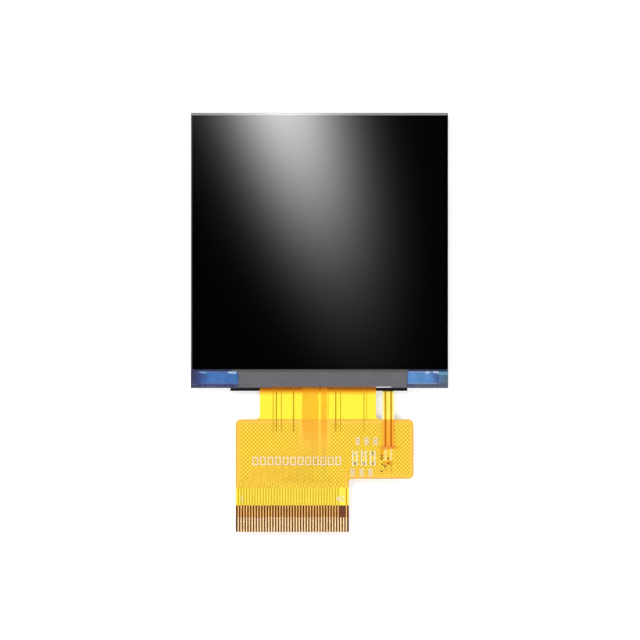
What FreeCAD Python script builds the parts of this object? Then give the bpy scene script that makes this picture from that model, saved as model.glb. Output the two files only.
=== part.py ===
# Small square TFT display module with its flexible tail, lying on its back.
# The origin is the centre of the panel's back face, +Z points out of the screen,
# +Y points to the edge opposite the tail. Sizes are in millimetres.
import FreeCAD, Part
import math
import os
import re
import Sketcher

SIZES = (
    # the panel and its pressed steel tray
    ("panel_width", 46.5, "outline of the panel, left to right"),
    ("panel_length", 49.7, "outline of the panel, top to bottom"),
    ("steel", 0.15, "thickness of the tray's sheet"),
    ("tray_height", 0.8, "height of the tray's side walls"),
    ("tray_corner", 0.6, "outer radius of the tray's corners"),
    ("bend_radius", 0.12, "outer radius of the bend round the tray's floor"),
    ("corner_slit", 1.1, "length of wall left off on each side of a corner"),
    ("side_gap_from_top", 2.4, "from the top edge to the open stretch of the side walls"),
    ("side_gap_length", 12.4, "length of the open stretch of the side walls"),
    ("snap_count", 3, "snap windows in each side wall"),
    ("snap_from_bottom", 4.0, "from the bottom edge to the middle of the first window"),
    ("snap_pitch", 11.0, "distance between snap windows"),
    ("snap_length", 3.0, "length of a snap window"),
    ("snap_sill", 0.32, "height of the lower edge of a snap window"),
    ("snap_opening", 0.26, "height of a snap window"),
    ("snap_reach", 0.1, "how far a snap boss stands out of the frame"),
    ("snap_play", 0.04, "play of a snap boss in its window"),
    # the moulded light frame
    ("frame_play", 0.03, "play between the frame and the tray"),
    ("frame_corner", 0.42, "outer radius of the frame's corners"),
    ("side_rail", 1.25, "width of the frame's side rails"),
    ("top_rail", 1.3, "width of the frame's top rail"),
    ("lamp_rail", 1.75, "width of the frame's rail behind the lamps"),
    ("window_corner", 0.3, "radius of the corners of the frame's window"),
    # the light guide and the films on it
    ("film_play", 0.06, "play between the frame and what lies in it"),
    ("reflector_thick", 0.08, "thickness of the reflector film"),
    ("guide_thick", 0.55, "thickness of the light guide plate"),
    ("diffuser_thick", 0.07, "thickness of the diffuser film"),
    ("prism_thick", 0.065, "thickness of each prism film"),
    ("ear_length", 2.0, "length of a locating ear"),
    ("ear_depth", 0.5, "how far a locating ear stands out"),
    ("upper_ear", 9.0, "from the top edge to the middle of the upper ears"),
    ("lower_ear", 38.0, "from the top edge to the middle of the lower ears"),
    # the lamps and the flex that carries them
    ("lamp_count", 6, "white lamps along the bottom edge"),
    ("lamp_margin", 5.07, "from the side of the frame's window to the middle of the end lamp"),
    ("lamp_width", 3.0, "width of a lamp"),
    ("lamp_depth", 0.85, "depth of a lamp, across the rail"),
    ("lamp_height", 0.6, "height of a lamp"),
    ("lamp_lens_width", 2.4, "width of the phosphor window of a lamp"),
    ("lamp_lens_height", 0.38, "height of the phosphor window of a lamp"),
    ("lamp_lens_depth", 0.3, "depth of the phosphor window of a lamp"),
    ("lamp_play", 0.05, "gap between a lamp and the light guide, and behind the lamps"),
    ("lamp_rib", 1.2, "width of the frame's ribs between the lamps"),
    ("strip_thick", 0.1, "thickness of the lamp flex"),
    ("strip_margin", 1.4, "lamp flex past the last lamp at each end"),
    ("strip_lap", 0.35, "overlap of the lamp flex on the light guide"),
    ("lead_gap", 2.215, "from the neck's right edge to the middle of the lamp lead"),
    ("lead_width", 2.05, "width of the lamp lead"),
    ("lead_lap", 4.95, "length of the lamp lead that lies on the main flex"),
    ("lead_straight", 0.75, "length of lamp lead straight out of the panel"),
    ("lead_trace_width", 0.3, "width of the lamp lead's two conductors"),
    ("lead_trace_pitch", 1.02, "distance between the lamp lead's two conductors"),
    # tapes
    ("rim_tape_thick", 0.05, "thickness of the tape ring between frame and glass"),
    ("rim_tape_width", 1.75, "width of the tape ring"),
    ("rim_tape_lamp_width", 4.4, "width of the tape ring over the lamps"),
    ("ledge_tape_left", 7.12, "from the glass's left edge to the black ledge tape"),
    ("ledge_tape_right", 7.32, "from the glass's right edge to the black ledge tape"),
    ("ledge_tape_lip", 0.52, "how far the black ledge tape shows past the glass"),
    ("cover_tape_left", 3.855, "how far the grey cover tape reaches left of the neck"),
    ("cover_tape_right", 5.595, "how far the grey cover tape reaches right of the neck"),
    ("cover_tape_thick", 0.06, "thickness of the grey cover tape"),
    ("cover_tape_edge", 0.12, "from the glass's bottom edge to the grey tape"),
    # the display cell
    ("glass_inset", 0.04, "from the panel's outline to the glass"),
    ("array_thick", 0.4, "thickness of the rear glass, which carries the transistors"),
    ("filter_thick", 0.4, "thickness of the front glass, which carries the colour filter"),
    ("cell_gap", 0.02, "gap between the two glasses, which the seal and the fluid fill"),
    ("seal_inset", 0.3, "from the front glass's edge to the seal"),
    ("seal_width", 0.7, "width of the seal"),
    ("ledge_depth", 3.0, "rear glass left open at the bottom"),
    ("rear_polarizer_thick", 0.13, "thickness of the rear polarizer"),
    ("rear_polarizer_inset", 0.5, "from the glass's edge to the rear polarizer"),
    ("front_polarizer_thick", 0.2, "thickness of the front polarizer"),
    ("front_polarizer_inset", 0.12, "from the glass's edge to the front polarizer"),
    ("front_polarizer_foot", 0.42, "from the front glass's bottom edge to the front polarizer"),
    ("polarizer_corner", 0.25, "corner radius of the polarizers"),
    # the ledge: driver chip, bond and sealant
    ("chip_inset", 1.175, "from the neck's side to the end of the driver chip"),
    ("chip_depth", 0.9, "depth of the driver chip"),
    ("chip_thick", 0.28, "thickness of the driver chip"),
    ("chip_gap", 0.45, "from the front glass's bottom edge to the driver chip"),
    ("bond_depth", 1.15, "depth of the bond between flex and glass"),
    ("bond_thick", 0.025, "thickness of the bond film"),
    ("sealant_depth", 2.2, "depth of the blue sealant along the front glass"),
    ("sealant_thick", 0.14, "thickness of the blue sealant"),
    ("sealant_rise", 0.2, "radius of the blue sealant's rise against the front glass"),
    ("sealant_left_end", 1.05, "from the glass's left edge to the sealant"),
    ("sealant_right_end", 1.75, "from the glass's right edge to the sealant"),
    ("sealant_gap", 0.08, "gap between the sealant and the grey tape"),
    # the main flex
    ("flex_base_thick", 0.05, "thickness of the main flex's base film"),
    ("copper_thick", 0.03, "thickness of the copper on the main flex"),
    ("cover_film_thick", 0.04, "thickness of the main flex's cover film"),
    ("neck_place", -0.27, "middle of the neck, right of the panel's middle"),
    ("neck_width", 20.95, "width of the neck"),
    ("neck_length", 5.65, "from the glass's bottom edge to the wide part"),
    ("neck_round", 0.75, "radius where the neck meets the wide part"),
    ("left_shoulder", 4.345, "how far the wide part stands out left of the neck"),
    ("right_shoulder", 6.745, "how far the wide part stands out right of the neck"),
    ("wide_length", 10.7, "length of the wide part"),
    ("wide_round", 0.85, "corner radius of the wide part"),
    ("tail_margin", 0.45, "from the middle of the end contact to the side of the contact tail"),
    ("tail_length", 9.6, "from the wide part's lower edge to the tail's end"),
    ("tail_round", 0.65, "radius where the tail meets the wide part"),
    ("tail_corner", 0.15, "corner radius of the tail's end"),
    ("contact_count", 40, "contacts"),
    ("contact_pitch", 0.5, "distance between contacts"),
    ("contact_width", 0.34, "width of a contact"),
    ("contact_length", 2.65, "length of a bare contact"),
    ("covered_length", 1.95, "length of a contact's wide end under the cover film"),
    ("contact_taper", 0.2, "length over which a contact narrows to its conductor"),
    ("trace_width", 0.2, "width of a contact's conductor under the cover film"),
    ("unused_contacts", 2, "contacts without a conductor, next to the last one"),
    ("stiffener_length", 4.8, "length of the stiffener under the contacts"),
    ("stiffener_thick", 0.2, "thickness of the stiffener"),
    ("mesh_margin", 0.3, "from the flex's edge to the ground mesh"),
    ("mesh_tail", 1.55, "ground mesh past the wide part's lower edge"),
    ("mesh_thick", 0.03, "thickness of the ground mesh"),
    # the neck's conductors, from its left edge
    ("line_feather", 2.38, "first fine line"),
    ("line_left", 2.98, "first heavy line"),
    ("line_beside", 3.86, "second fine line"),
    ("line_long", 6.08, "second heavy line"),
    ("line_right", 13.68, "third heavy line"),
    ("line_after", 14.54, "third fine line"),
    ("line_last", 18.78, "last fine line"),
    ("fine_line_width", 0.12, "width of a fine line"),
    ("heavy_line_width", 0.22, "width of a heavy line"),
    ("line_reach", 2.2, "length of the neck's lines in the wide part"),
    # the contacts' conductors, which run up into the neck side by side
    ("bundle_start", 7.68, "first conductor of the bundle, from the neck's left edge"),
    ("bundle_pitch", 0.115, "distance between conductors in the bundle"),
    ("bundle_line", 0.065, "width of a conductor in the bundle"),
    ("bundle_split", 26, "conductors left of the bundle's gap"),
    ("bundle_gap", 0.38, "extra distance at the bundle's gap"),
    ("fan_lift", 0.95, "from the ground mesh's lower edge to where the conductors slant off"),
    ("fan_slope", 0.72, "rise of the slanting conductors for each step sideways"),
    # small parts on the wide part
    ("jumper_count", 3, "places for a jumper"),
    ("jumper_pitch", 1.6, "distance between the jumper places"),
    ("jumper_inset", 8.95, "from the wide part's right edge to the middle of the jumper places"),
    ("jumper_drop", 7.1, "from the wide part's upper edge to the jumper places' middle"),
    ("jumper_pad_width", 0.36, "width of a jumper pad"),
    ("jumper_pad_length", 0.7, "length of a jumper pad"),
    ("jumper_pad_gap", 1.0, "gap between the two pads of a jumper place"),
    ("pad_window", 0.06, "bare film round the jumper pads and the lamp pads"),
    ("lamp_pad_width", 0.45, "width of the pads that the lamp lead is soldered to"),
    ("lamp_pad_length", 2.5, "length of the pads that the lamp lead is soldered to"),
    ("lamp_line_drop", 1.6, "from the lamp pads' foot to the nearer conductor that feeds them"),
    ("lamp_line_gap", 0.5, "distance between the two conductors that feed the lamp pads"),
    ("solder_width", 0.45, "width of a solder joint of the lamp lead"),
    ("solder_length", 0.42, "length of a solder joint of the lamp lead"),
)

# Places worked out from the sizes, which the formulas below name as they do a size.
PLACES = {
    "right": "panel_width / 2",
    "top": "panel_length / 2",
    "frame_right": "right - steel - frame_play",
    "frame_top_edge": "top - steel - frame_play",
    "window_right": "frame_right - side_rail",
    "window_top": "frame_top_edge - top_rail",
    "window_foot": "lamp_rail - frame_top_edge",
    "guide_right": "window_right - film_play",
    "guide_top": "window_top - film_play",
    "guide_foot": "window_foot + 2 * lamp_play + lamp_depth",
    "guide_level": "steel + reflector_thick",
    "diffuser_level": "guide_level + guide_thick",
    "lower_prism_level": "diffuser_level + diffuser_thick",
    "upper_prism_level": "lower_prism_level + prism_thick",
    "frame_level": "upper_prism_level + prism_thick",
    "strip_level": "frame_level - strip_thick",
    "strip_top_edge": "guide_foot + strip_lap",
    "strip_foot": "window_foot + lamp_play",
    "lamp_level": "strip_level - lamp_height",
    "lamp_row_left": "lamp_margin - window_right",
    "lamp_pitch": "2 * (window_right - lamp_margin) / (lamp_count - 1)",
    "film_foot": "strip_top_edge + film_play",
    "cell_level": "frame_level + rim_tape_thick",
    "array_level": "cell_level + rear_polarizer_thick",
    "array_face": "array_level + array_thick",
    "filter_level": "array_face + cell_gap",
    "filter_face": "filter_level + filter_thick",
    "glass_right": "right - glass_inset",
    "glass_top": "top - glass_inset",
    "filter_foot": "ledge_depth - top",
    "polarizer_right": "glass_right - front_polarizer_inset",
    "polarizer_top": "glass_top - front_polarizer_inset",
    "polarizer_foot": "filter_foot + front_polarizer_foot",
    "flex_level": "array_face + bond_thick",
    "copper_level": "flex_level + flex_base_thick",
    "cover_level": "copper_level + copper_thick",
    "flex_face": "cover_level + cover_film_thick",
    "neck_left": "neck_place - neck_width / 2",
    "neck_right": "neck_place + neck_width / 2",
    "grey_left": "neck_left - cover_tape_left",
    "grey_right": "neck_right + cover_tape_right",
    "wide_top": "-top - neck_length",
    "wide_foot": "wide_top - wide_length",
    "wide_right": "neck_right + right_shoulder",
    "tail_left": "neck_left - left_shoulder",
    "tail_right": "last_contact + tail_margin",
    "tail_foot": "wide_foot - tail_length",
    "contact_top": "tail_foot + contact_length",
    "first_contact": "tail_left + tail_margin",
    "last_contact": "first_contact + (contact_count - 1) * contact_pitch",
    "mesh_foot": "wide_foot - mesh_tail",
    "fan_foot": "mesh_foot + fan_lift",
    "trace_head": "cover_tape_edge - top",
    "lead_place": "neck_right + lead_gap",
    "lead_left": "lead_place - lead_width / 2",
    "lead_right": "lead_place + lead_width / 2",
    "lead_start": "strip_foot + strip_lap",
    "lead_bend": "-top - lead_straight",
    "lead_end": "wide_top - lead_lap",
    "lead_rise": "flex_face - strip_level",
    "lead_run": "lead_bend - wide_top",
    "lead_radius": "(lead_run * lead_run + lead_rise * lead_rise) / (4 * lead_rise)",
    "snap_first": "snap_from_bottom - top",
    "first_lamp_pad": "lead_place - lead_trace_pitch / 2",
    "lamp_pad_foot": "lead_end - lamp_pad_length",
    "jumper_middle": "wide_top - jumper_drop",
    "jumper_left": "wide_right - jumper_inset - (jumper_count - 1) * jumper_pitch / 2",
}

# A sketch of many loops solves slowly, so a long row of them is drawn in groups of this many.
LOOPS_PER_SKETCH = 8

doc = FreeCAD.newDocument("DisplayModule")
sheet = doc.addObject("Spreadsheet::Sheet", "Sizes")


def fill_sheet():
    """Write each driving size, its name and its meaning into a row of the sheet."""
    for row, (name, size, meaning) in enumerate(SIZES, start=1):
        sheet.set(f"A{row}", name)
        sheet.set(f"B{row}", str(size))
        sheet.set(f"C{row}", meaning)
        sheet.setAlias(f"B{row}", name)
    doc.recompute()


def formula(text):
    """Write a size or a place out in the names of the sheet's cells."""
    def cell(match):
        word = match.group()
        if word in PLACES:
            return "(" + formula(PLACES[word]) + ")"
        return "Sizes." + word
    return re.sub(r"[a-z_]+", cell, text)


def number(text):
    """The present value of a formula."""
    return float(sheet.evalExpression(formula(text)))


def new_body(name):
    """A body of its own, which may hold several like solids."""
    body = doc.addObject("PartDesign::Body", name)
    body.Label = name
    body.AllowCompound = True
    return body


def pin(sketch, joints, holds):
    """Join ends of the sketch's edges, and hold coordinates and radii at formulas."""
    constraints = [Sketcher.Constraint("Coincident", *joint) for joint in joints]
    constraints += [Sketcher.Constraint(kind, *spot, number(text)) for kind, spot, text in holds]
    first_hold = sketch.ConstraintCount + len(joints)
    sketch.addConstraint(constraints)
    for index, (_, _, text) in enumerate(holds, start=first_hold):
        sketch.setExpression(f"Constraints[{index}]", formula(text))


def bulge(start, end, radius, side):
    """The middle of the short arc between two points that swells to the left or right of the way."""
    chord = end - start
    half = chord.Length / 2
    height = radius - math.sqrt(max(radius * radius - half * half, 0))
    across = FreeCAD.Vector(-chord.y, chord.x, 0).normalize()
    if side == "right":
        across = across.negative()
    return start + chord / 2 + across * height


def arc_ends(sketch, edge, start):
    """The sketch's numbers for an arc's first and last point, as the outline runs."""
    first = sketch.getPoint(edge, 1)
    last = sketch.getPoint(edge, 2)
    return (1, 2) if (first - start).Length < (last - start).Length else (2, 1)


def draw_loop(sketch, corners):
    """Draw a closed loop. A corner is x and y, and a radius and a side if an arc leads on from it."""
    spots = [FreeCAD.Vector(number(corner[0]), number(corner[1]), 0) for corner in corners]
    edges = []
    joints = []
    holds = []
    for index, corner in enumerate(corners):
        start = spots[index]
        end = spots[(index + 1) % len(spots)]
        if len(corner) == 2:
            edge = sketch.addGeometry(Part.LineSegment(start, end), False)
            edges.append((edge, 1, 2))
            continue
        middle = bulge(start, end, number(corner[2]), corner[3])
        edge = sketch.addGeometry(Part.Arc(start, middle, end), False)
        holds.append(("Radius", (edge,), corner[2]))
        edges.append((edge, *arc_ends(sketch, edge, start)))
    for index, (edge, head, tail) in enumerate(edges):
        follower, follower_head, _ = edges[(index + 1) % len(edges)]
        joints.append((edge, tail, follower, follower_head))
        holds.append(("DistanceX", (edge, head), corners[index][0]))
        holds.append(("DistanceY", (edge, head), corners[index][1]))
    pin(sketch, joints, holds)


def new_sketch(body, name, plane="XY_Plane", level="0"):
    """An empty sketch on one of the body's own planes, moved along its normal by a formula."""
    sketch = body.newObject("Sketcher::SketchObject", name)
    support = [item for item in body.Origin.OriginFeatures if item.Role == plane]
    sketch.AttachmentSupport = [(support[0], "")]
    sketch.MapMode = "FlatFace"
    sketch.setExpression("AttachmentOffset.Base.z", formula(level))
    return sketch


def draw(body, name, loops, plane="XY_Plane", level="0"):
    """A sketch of closed loops."""
    sketch = new_sketch(body, name, plane, level)
    for loop in loops:
        draw_loop(sketch, loop)
    return sketch


def rectangle(left, foot, right, top):
    """The corners of a rectangle, counter-clockwise."""
    return [(left, foot), (right, foot), (right, top), (left, top)]


def rounded(corners):
    """Round the corners that name a radius, of a counter-clockwise outline with square turns."""
    spots = [(number(x), number(y)) for x, y, _ in corners]
    outline = []
    for index, (x, y, radius) in enumerate(corners):
        if not radius:
            outline.append((x, y))
            continue
        before = spots[index - 1]
        here = spots[index]
        after = spots[(index + 1) % len(spots)]
        way_in = [compare(here[axis], before[axis]) for axis in (0, 1)]
        way_out = [compare(after[axis], here[axis]) for axis in (0, 1)]
        left_turn = way_in[0] * way_out[1] - way_in[1] * way_out[0] > 0
        side = "right" if left_turn else "left"
        outline.append((shifted(x, -way_in[0], radius), shifted(y, -way_in[1], radius), radius, side))
        outline.append((shifted(x, way_out[0], radius), shifted(y, way_out[1], radius)))
    return outline


def compare(one, other):
    """1, 0 or -1 as one is more than, the same as or less than the other."""
    return 0 if abs(one - other) < 1e-6 else math.copysign(1, one - other)


def shifted(text, way, distance):
    """A formula moved by a distance up, down or not at all."""
    if way == 0:
        return text
    return f"{text} + {distance}" if way > 0 else f"{text} - {distance}"


def rounded_rectangle(left, foot, right, top, radius):
    """A rectangle with four like corners."""
    return rounded([(x, y, radius) for x, y in rectangle(left, foot, right, top)])


def pad(body, name, sketch, height):
    """Raise a sketch along its normal."""
    feature = body.newObject("PartDesign::Pad", name)
    feature.Profile = sketch
    feature.setExpression("Length", formula(height))
    doc.recompute()
    return feature


def cut(body, name, sketch, depth):
    """Cut a sketch along its normal, or both ways through all if it has no depth."""
    volume = body.Shape.Volume
    feature = body.newObject("PartDesign::Pocket", name)
    feature.Profile = sketch
    if depth:
        feature.Reversed = True
        feature.setExpression("Length", formula(depth))
    else:
        feature.Type = "ThroughAll"
        feature.SideType = "Symmetric"
    doc.recompute()
    if not body.Shape.Volume < volume:
        raise ValueError(f"{name} cuts nothing from {body.Label}")
    return feature


def repeat(body, name, feature, sketch, axis, count, pitch):
    """Repeat a feature along an axis of its sketch."""
    row = body.newObject("PartDesign::LinearPattern", name)
    row.Originals = [feature]
    row.Direction = (sketch, [axis])
    row.setExpression("Length", formula(f"({count} - 1) * {pitch}"))
    row.setExpression("Occurrences", formula(count))
    body.Tip = row
    doc.recompute()
    return row


def plates(name, outlines, level, thick):
    """Flat pieces of one thickness. An outline inside another is an opening."""
    body = new_body(name)
    pad(body, name + "_plate", draw(body, name + "_outlines", outlines, level=level), thick)
    return body


def plate(name, outline, level, thick):
    """A flat piece with one outline."""
    return plates(name, [outline], level, thick)


def rear_bezel():
    """The steel tray: a drawn sheet with open corners, an open stretch in each side and snap windows."""
    body = new_body("rear_bezel")
    outline = rounded_rectangle("-right", "-top", "right", "top", "tray_corner")
    block = pad(body, "tray_block", draw(body, "tray_outline", [outline]), "tray_height")
    lowest = [
        f"Edge{index}" for index, edge in enumerate(block.Shape.Edges, start=1)
        if edge.BoundBox.ZMax < number("steel") / 2
    ]
    bend = body.newObject("PartDesign::Fillet", "tray_bend")
    bend.Base = (block, lowest)
    bend.setExpression("Radius", formula("bend_radius"))
    inside = rectangle("steel - right", "steel - top", "right - steel", "top - steel")
    cut(body, "tray_inside", draw(body, "inside_outline", [inside], level="steel"), "tray_height")
    slits = [
        rectangle(left, foot, f"{left} + corner_slit", f"{foot} + corner_slit")
        for left in ("-right", "right - corner_slit") for foot in ("-top", "top - corner_slit")
    ]
    cut(body, "corner_slits", draw(body, "slit_outlines", slits, level="steel"), "tray_height")
    gap_foot = "top - side_gap_from_top - side_gap_length"
    gaps = [
        rectangle(left, gap_foot, f"{left} + steel", "top - side_gap_from_top")
        for left in ("-right", "right - steel")
    ]
    cut(body, "side_gaps", draw(body, "side_gap_outlines", gaps, level="steel"), "tray_height")
    window = rectangle(
        "snap_first - snap_length / 2", "snap_sill",
        "snap_first + snap_length / 2", "snap_sill + snap_opening",
    )
    windows = draw(body, "window_outline", [window], plane="YZ_Plane")
    first = cut(body, "snap_window", windows, None)
    repeat(body, "snap_windows", first, windows, "H_Axis", "snap_count", "snap_pitch")
    return body


def backlight_frame():
    """The white moulded frame, with ear pockets, ribs between the lamps and snap bosses."""
    body = new_body("backlight_frame")
    outer = rounded_rectangle(
        "-frame_right", "-frame_top_edge", "frame_right", "frame_top_edge", "frame_corner",
    )
    window = rounded_rectangle(
        "-window_right", "window_foot", "window_right", "window_top", "window_corner",
    )
    rails = draw(body, "rail_outlines", [outer, window], level="steel")
    pad(body, "rails", rails, "frame_level - steel")
    depth = "(ear_depth + 2 * film_play)"
    pockets = []
    for ear in ("upper_ear", "lower_ear"):
        foot = f"top - {ear} - ear_length / 2 - film_play"
        head = f"top - {ear} + ear_length / 2 + film_play"
        pockets.append(rectangle("window_right - film_play", foot, f"window_right + {depth}", head))
        pockets.append(rectangle(f"-window_right - {depth}", foot, "film_play - window_right", head))
    cut(body, "ear_pockets", draw(body, "ear_pocket_outlines", pockets, level="steel"), "frame_level")
    notch = rectangle("lead_left - film_play", "-top", "lead_right + film_play", "window_foot + film_play")
    cut(body, "lead_notch", draw(body, "notch_outline", [notch], level="strip_level"), "strip_thick * 2")
    rib_left = "lamp_row_left + lamp_pitch / 2 - lamp_rib / 2"
    rib = rectangle(rib_left, "window_foot - film_play", f"{rib_left} + lamp_rib", "guide_foot - lamp_play")
    rib_sketch = draw(body, "rib_outline", [rib], level="steel")
    first = pad(body, "lamp_rib", rib_sketch, "strip_level - steel")
    repeat(body, "lamp_ribs", first, rib_sketch, "H_Axis", "(lamp_count - 1)", "lamp_pitch")
    low = "snap_sill + snap_play"
    high = "snap_sill + snap_opening - snap_play"
    root = "frame_right - film_play"
    right_boss = [
        (root, low), ("frame_right", low),
        ("frame_right + snap_reach", f"{low} + snap_reach"),
        ("frame_right + snap_reach", high), (root, high),
    ]
    left_boss = [(f"-({x})", z) for x, z in reversed(right_boss)]
    start = "-(snap_first + (snap_count - 1) * snap_pitch) - snap_length / 2 + snap_play"
    bosses = draw(body, "boss_profiles", [right_boss, left_boss], plane="XZ_Plane", level=start)
    boss = pad(body, "snap_boss", bosses, "snap_length - 2 * snap_play")
    repeat(body, "snap_bosses", boss, bosses, "N_Axis", "snap_count", "snap_pitch")
    return body


def film(name, foot, level, thick, ears):
    """A sheet that lies in the frame's window, held by its ears."""
    body = new_body(name)
    outline = rounded_rectangle("-guide_right", foot, "guide_right", "guide_top", "window_corner")
    pad(body, name + "_sheet", draw(body, name + "_outline", [outline], level=level), thick)
    tabs = []
    for ear in ears:
        low = f"top - {ear} - ear_length / 2"
        high = f"top - {ear} + ear_length / 2"
        tabs.append(rectangle("guide_right - ear_depth", low, "guide_right + ear_depth", high))
        tabs.append(rectangle("-guide_right - ear_depth", low, "ear_depth - guide_right", high))
    pad(body, name + "_ears", draw(body, name + "_ear_outlines", tabs, level=level), thick)
    return body


def light_stack():
    """The reflector, the light guide and the three films on it."""
    both = ("upper_ear", "lower_ear")
    return [
        film("reflector_film", "guide_foot", "steel", "reflector_thick", both),
        film("light_guide_plate", "guide_foot", "guide_level", "guide_thick", both),
        film("diffuser_film", "film_foot", "diffuser_level", "diffuser_thick", both),
        film("lower_prism_film", "film_foot", "lower_prism_level", "prism_thick", both),
        film("upper_prism_film", "film_foot", "upper_prism_level", "prism_thick", both),
    ]


def lamp_lens_outline():
    """The phosphor window of the first lamp, seen along the rail."""
    middle = "lamp_level + lamp_height / 2"
    return rectangle(
        "lamp_row_left - lamp_lens_width / 2", f"{middle} - lamp_lens_height / 2",
        "lamp_row_left + lamp_lens_width / 2", f"{middle} + lamp_lens_height / 2",
    )


def backlight_lamps():
    """The row of side-lit lamps: their housings and the phosphor in them."""
    housings = new_body("lamp_housings")
    outline = rectangle(
        "lamp_row_left - lamp_width / 2", "window_foot + lamp_play",
        "lamp_row_left + lamp_width / 2", "window_foot + lamp_play + lamp_depth",
    )
    base = draw(housings, "housing_outline", [outline], level="lamp_level")
    block = pad(housings, "housing", base, "lamp_height")
    face = "-(window_foot + lamp_play + lamp_depth)"
    mouth = draw(housings, "lens_outline", [lamp_lens_outline()], plane="XZ_Plane", level=face)
    pocket = cut(housings, "lens_pocket", mouth, "lamp_lens_depth")
    row = housings.newObject("PartDesign::LinearPattern", "lamp_row")
    row.Originals = [block, pocket]
    row.Direction = (base, ["H_Axis"])
    row.setExpression("Length", formula("(lamp_count - 1) * lamp_pitch"))
    row.setExpression("Occurrences", formula("lamp_count"))
    housings.Tip = row
    phosphor = new_body("lamp_phosphor")
    fill = draw(phosphor, "phosphor_outline", [lamp_lens_outline()], plane="XZ_Plane", level=face)
    first = pad(phosphor, "phosphor", fill, "lamp_lens_depth")
    repeat(phosphor, "phosphor_row", first, fill, "H_Axis", "lamp_count", "lamp_pitch")
    return [housings, phosphor]


def lead_path(body, name, start):
    """The way of the lamp lead: level out of the panel, an even double bend, level on the main flex."""
    sketch = new_sketch(body, name, "YZ_Plane", "lead_place")
    low = "strip_level"
    high = "flex_face"
    halfway = "(lead_bend + wide_top) / 2"
    middle = "(strip_level + flex_face) / 2"
    stops = [(start, low), ("lead_bend", low), (halfway, middle), ("wide_top", high), ("lead_end", high)]
    spots = [FreeCAD.Vector(number(along), number(up), 0) for along, up in stops]
    radius = number("lead_radius")
    sketch.addGeometry(Part.LineSegment(spots[0], spots[1]), False)
    sketch.addGeometry(Part.Arc(spots[1], bulge(spots[1], spots[2], radius, "left"), spots[2]), False)
    sketch.addGeometry(Part.Arc(spots[2], bulge(spots[2], spots[3], radius, "right"), spots[3]), False)
    sketch.addGeometry(Part.LineSegment(spots[3], spots[4]), False)
    arcs = [(edge, *arc_ends(sketch, edge, spots[edge])) for edge in (1, 2)]
    ends = [(0, 1, 2), *arcs, (3, 1, 2)]
    joints = [(edge, tail, follower, head) for (edge, _, tail), (follower, head, _) in zip(ends, ends[1:])]
    holds = [("Radius", (edge,), "lead_radius") for edge, _, _ in arcs]
    heads = [(edge, head) for edge, head, _ in ends] + [(3, 2)]
    for spot, (along, up) in zip(heads, stops):
        holds.append(("DistanceX", spot, along))
        holds.append(("DistanceY", spot, up))
    pin(sketch, joints, holds)
    return sketch


def sweep(body, name, section, path):
    """Carry a section along a path."""
    feature = body.newObject("PartDesign::AdditivePipe", name)
    feature.Profile = section
    feature.Spine = path
    doc.recompute()
    return feature


def backlight_flex():
    """The lamp flex: the strip over the lamps and the lead that runs up onto the main flex."""
    body = new_body("backlight_flex")
    left = "lamp_row_left - lamp_width / 2 - strip_margin"
    right = "lamp_width / 2 + strip_margin - lamp_row_left"
    outline = rectangle(left, "strip_foot", right, "strip_top_edge")
    pad(body, "strip", draw(body, "strip_outline", [outline], level="strip_level"), "strip_thick")
    end = rectangle("lead_left", "strip_level", "lead_right", "strip_level + strip_thick")
    section = draw(body, "lead_section", [end], plane="XZ_Plane", level="-(lead_start)")
    sweep(body, "lead", section, lead_path(body, "lead_path", "lead_start"))
    return body


def backlight_traces():
    """The two conductors on the lamp lead, outside the panel."""
    body = new_body("backlight_traces")
    left = "lead_place - lead_trace_pitch / 2 - lead_trace_width / 2"
    low = "strip_level + strip_thick"
    outline = rectangle(left, low, f"{left} + lead_trace_width", f"{low} + copper_thick")
    start = "-top + cover_tape_edge"
    section = draw(body, "trace_section", [outline], plane="XZ_Plane", level=f"-({start})")
    first = sweep(body, "trace", section, lead_path(body, "trace_path", start))
    repeat(body, "trace_pair", first, section, "H_Axis", "2", "lead_trace_pitch")
    return body


def display_cell():
    """The two glasses with the seal and the fluid between them, and the two polarizers."""
    glass_left = "-glass_right"
    inset = "rear_polarizer_inset"
    rear = rounded_rectangle(
        f"{glass_left} + {inset}", "filter_foot", f"glass_right - {inset}", f"glass_top - {inset}",
        "polarizer_corner",
    )
    seal_foot = "filter_foot + seal_inset"
    seal_right = "glass_right - seal_inset"
    seal_top = "glass_top - seal_inset"
    seal = rectangle(f"-({seal_right})", seal_foot, seal_right, seal_top)
    fluid = rectangle(
        f"seal_width - ({seal_right})", f"{seal_foot} + seal_width",
        f"{seal_right} - seal_width", f"{seal_top} - seal_width",
    )
    front = rounded_rectangle(
        "-polarizer_right", "polarizer_foot", "polarizer_right", "polarizer_top", "polarizer_corner",
    )
    array = rectangle(glass_left, "-top", "glass_right", "glass_top")
    colour = rectangle(glass_left, "filter_foot", "glass_right", "glass_top")
    return [
        plate("rear_polarizer", rear, "cell_level", "rear_polarizer_thick"),
        plate("array_glass", array, "array_level", "array_thick"),
        plates("cell_seal", [seal, fluid], "array_face", "cell_gap"),
        plate("liquid_crystal", fluid, "array_face", "cell_gap"),
        plate("color_filter_glass", colour, "filter_level", "filter_thick"),
        plate("front_polarizer", front, "filter_face", "front_polarizer_thick"),
    ]


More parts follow.
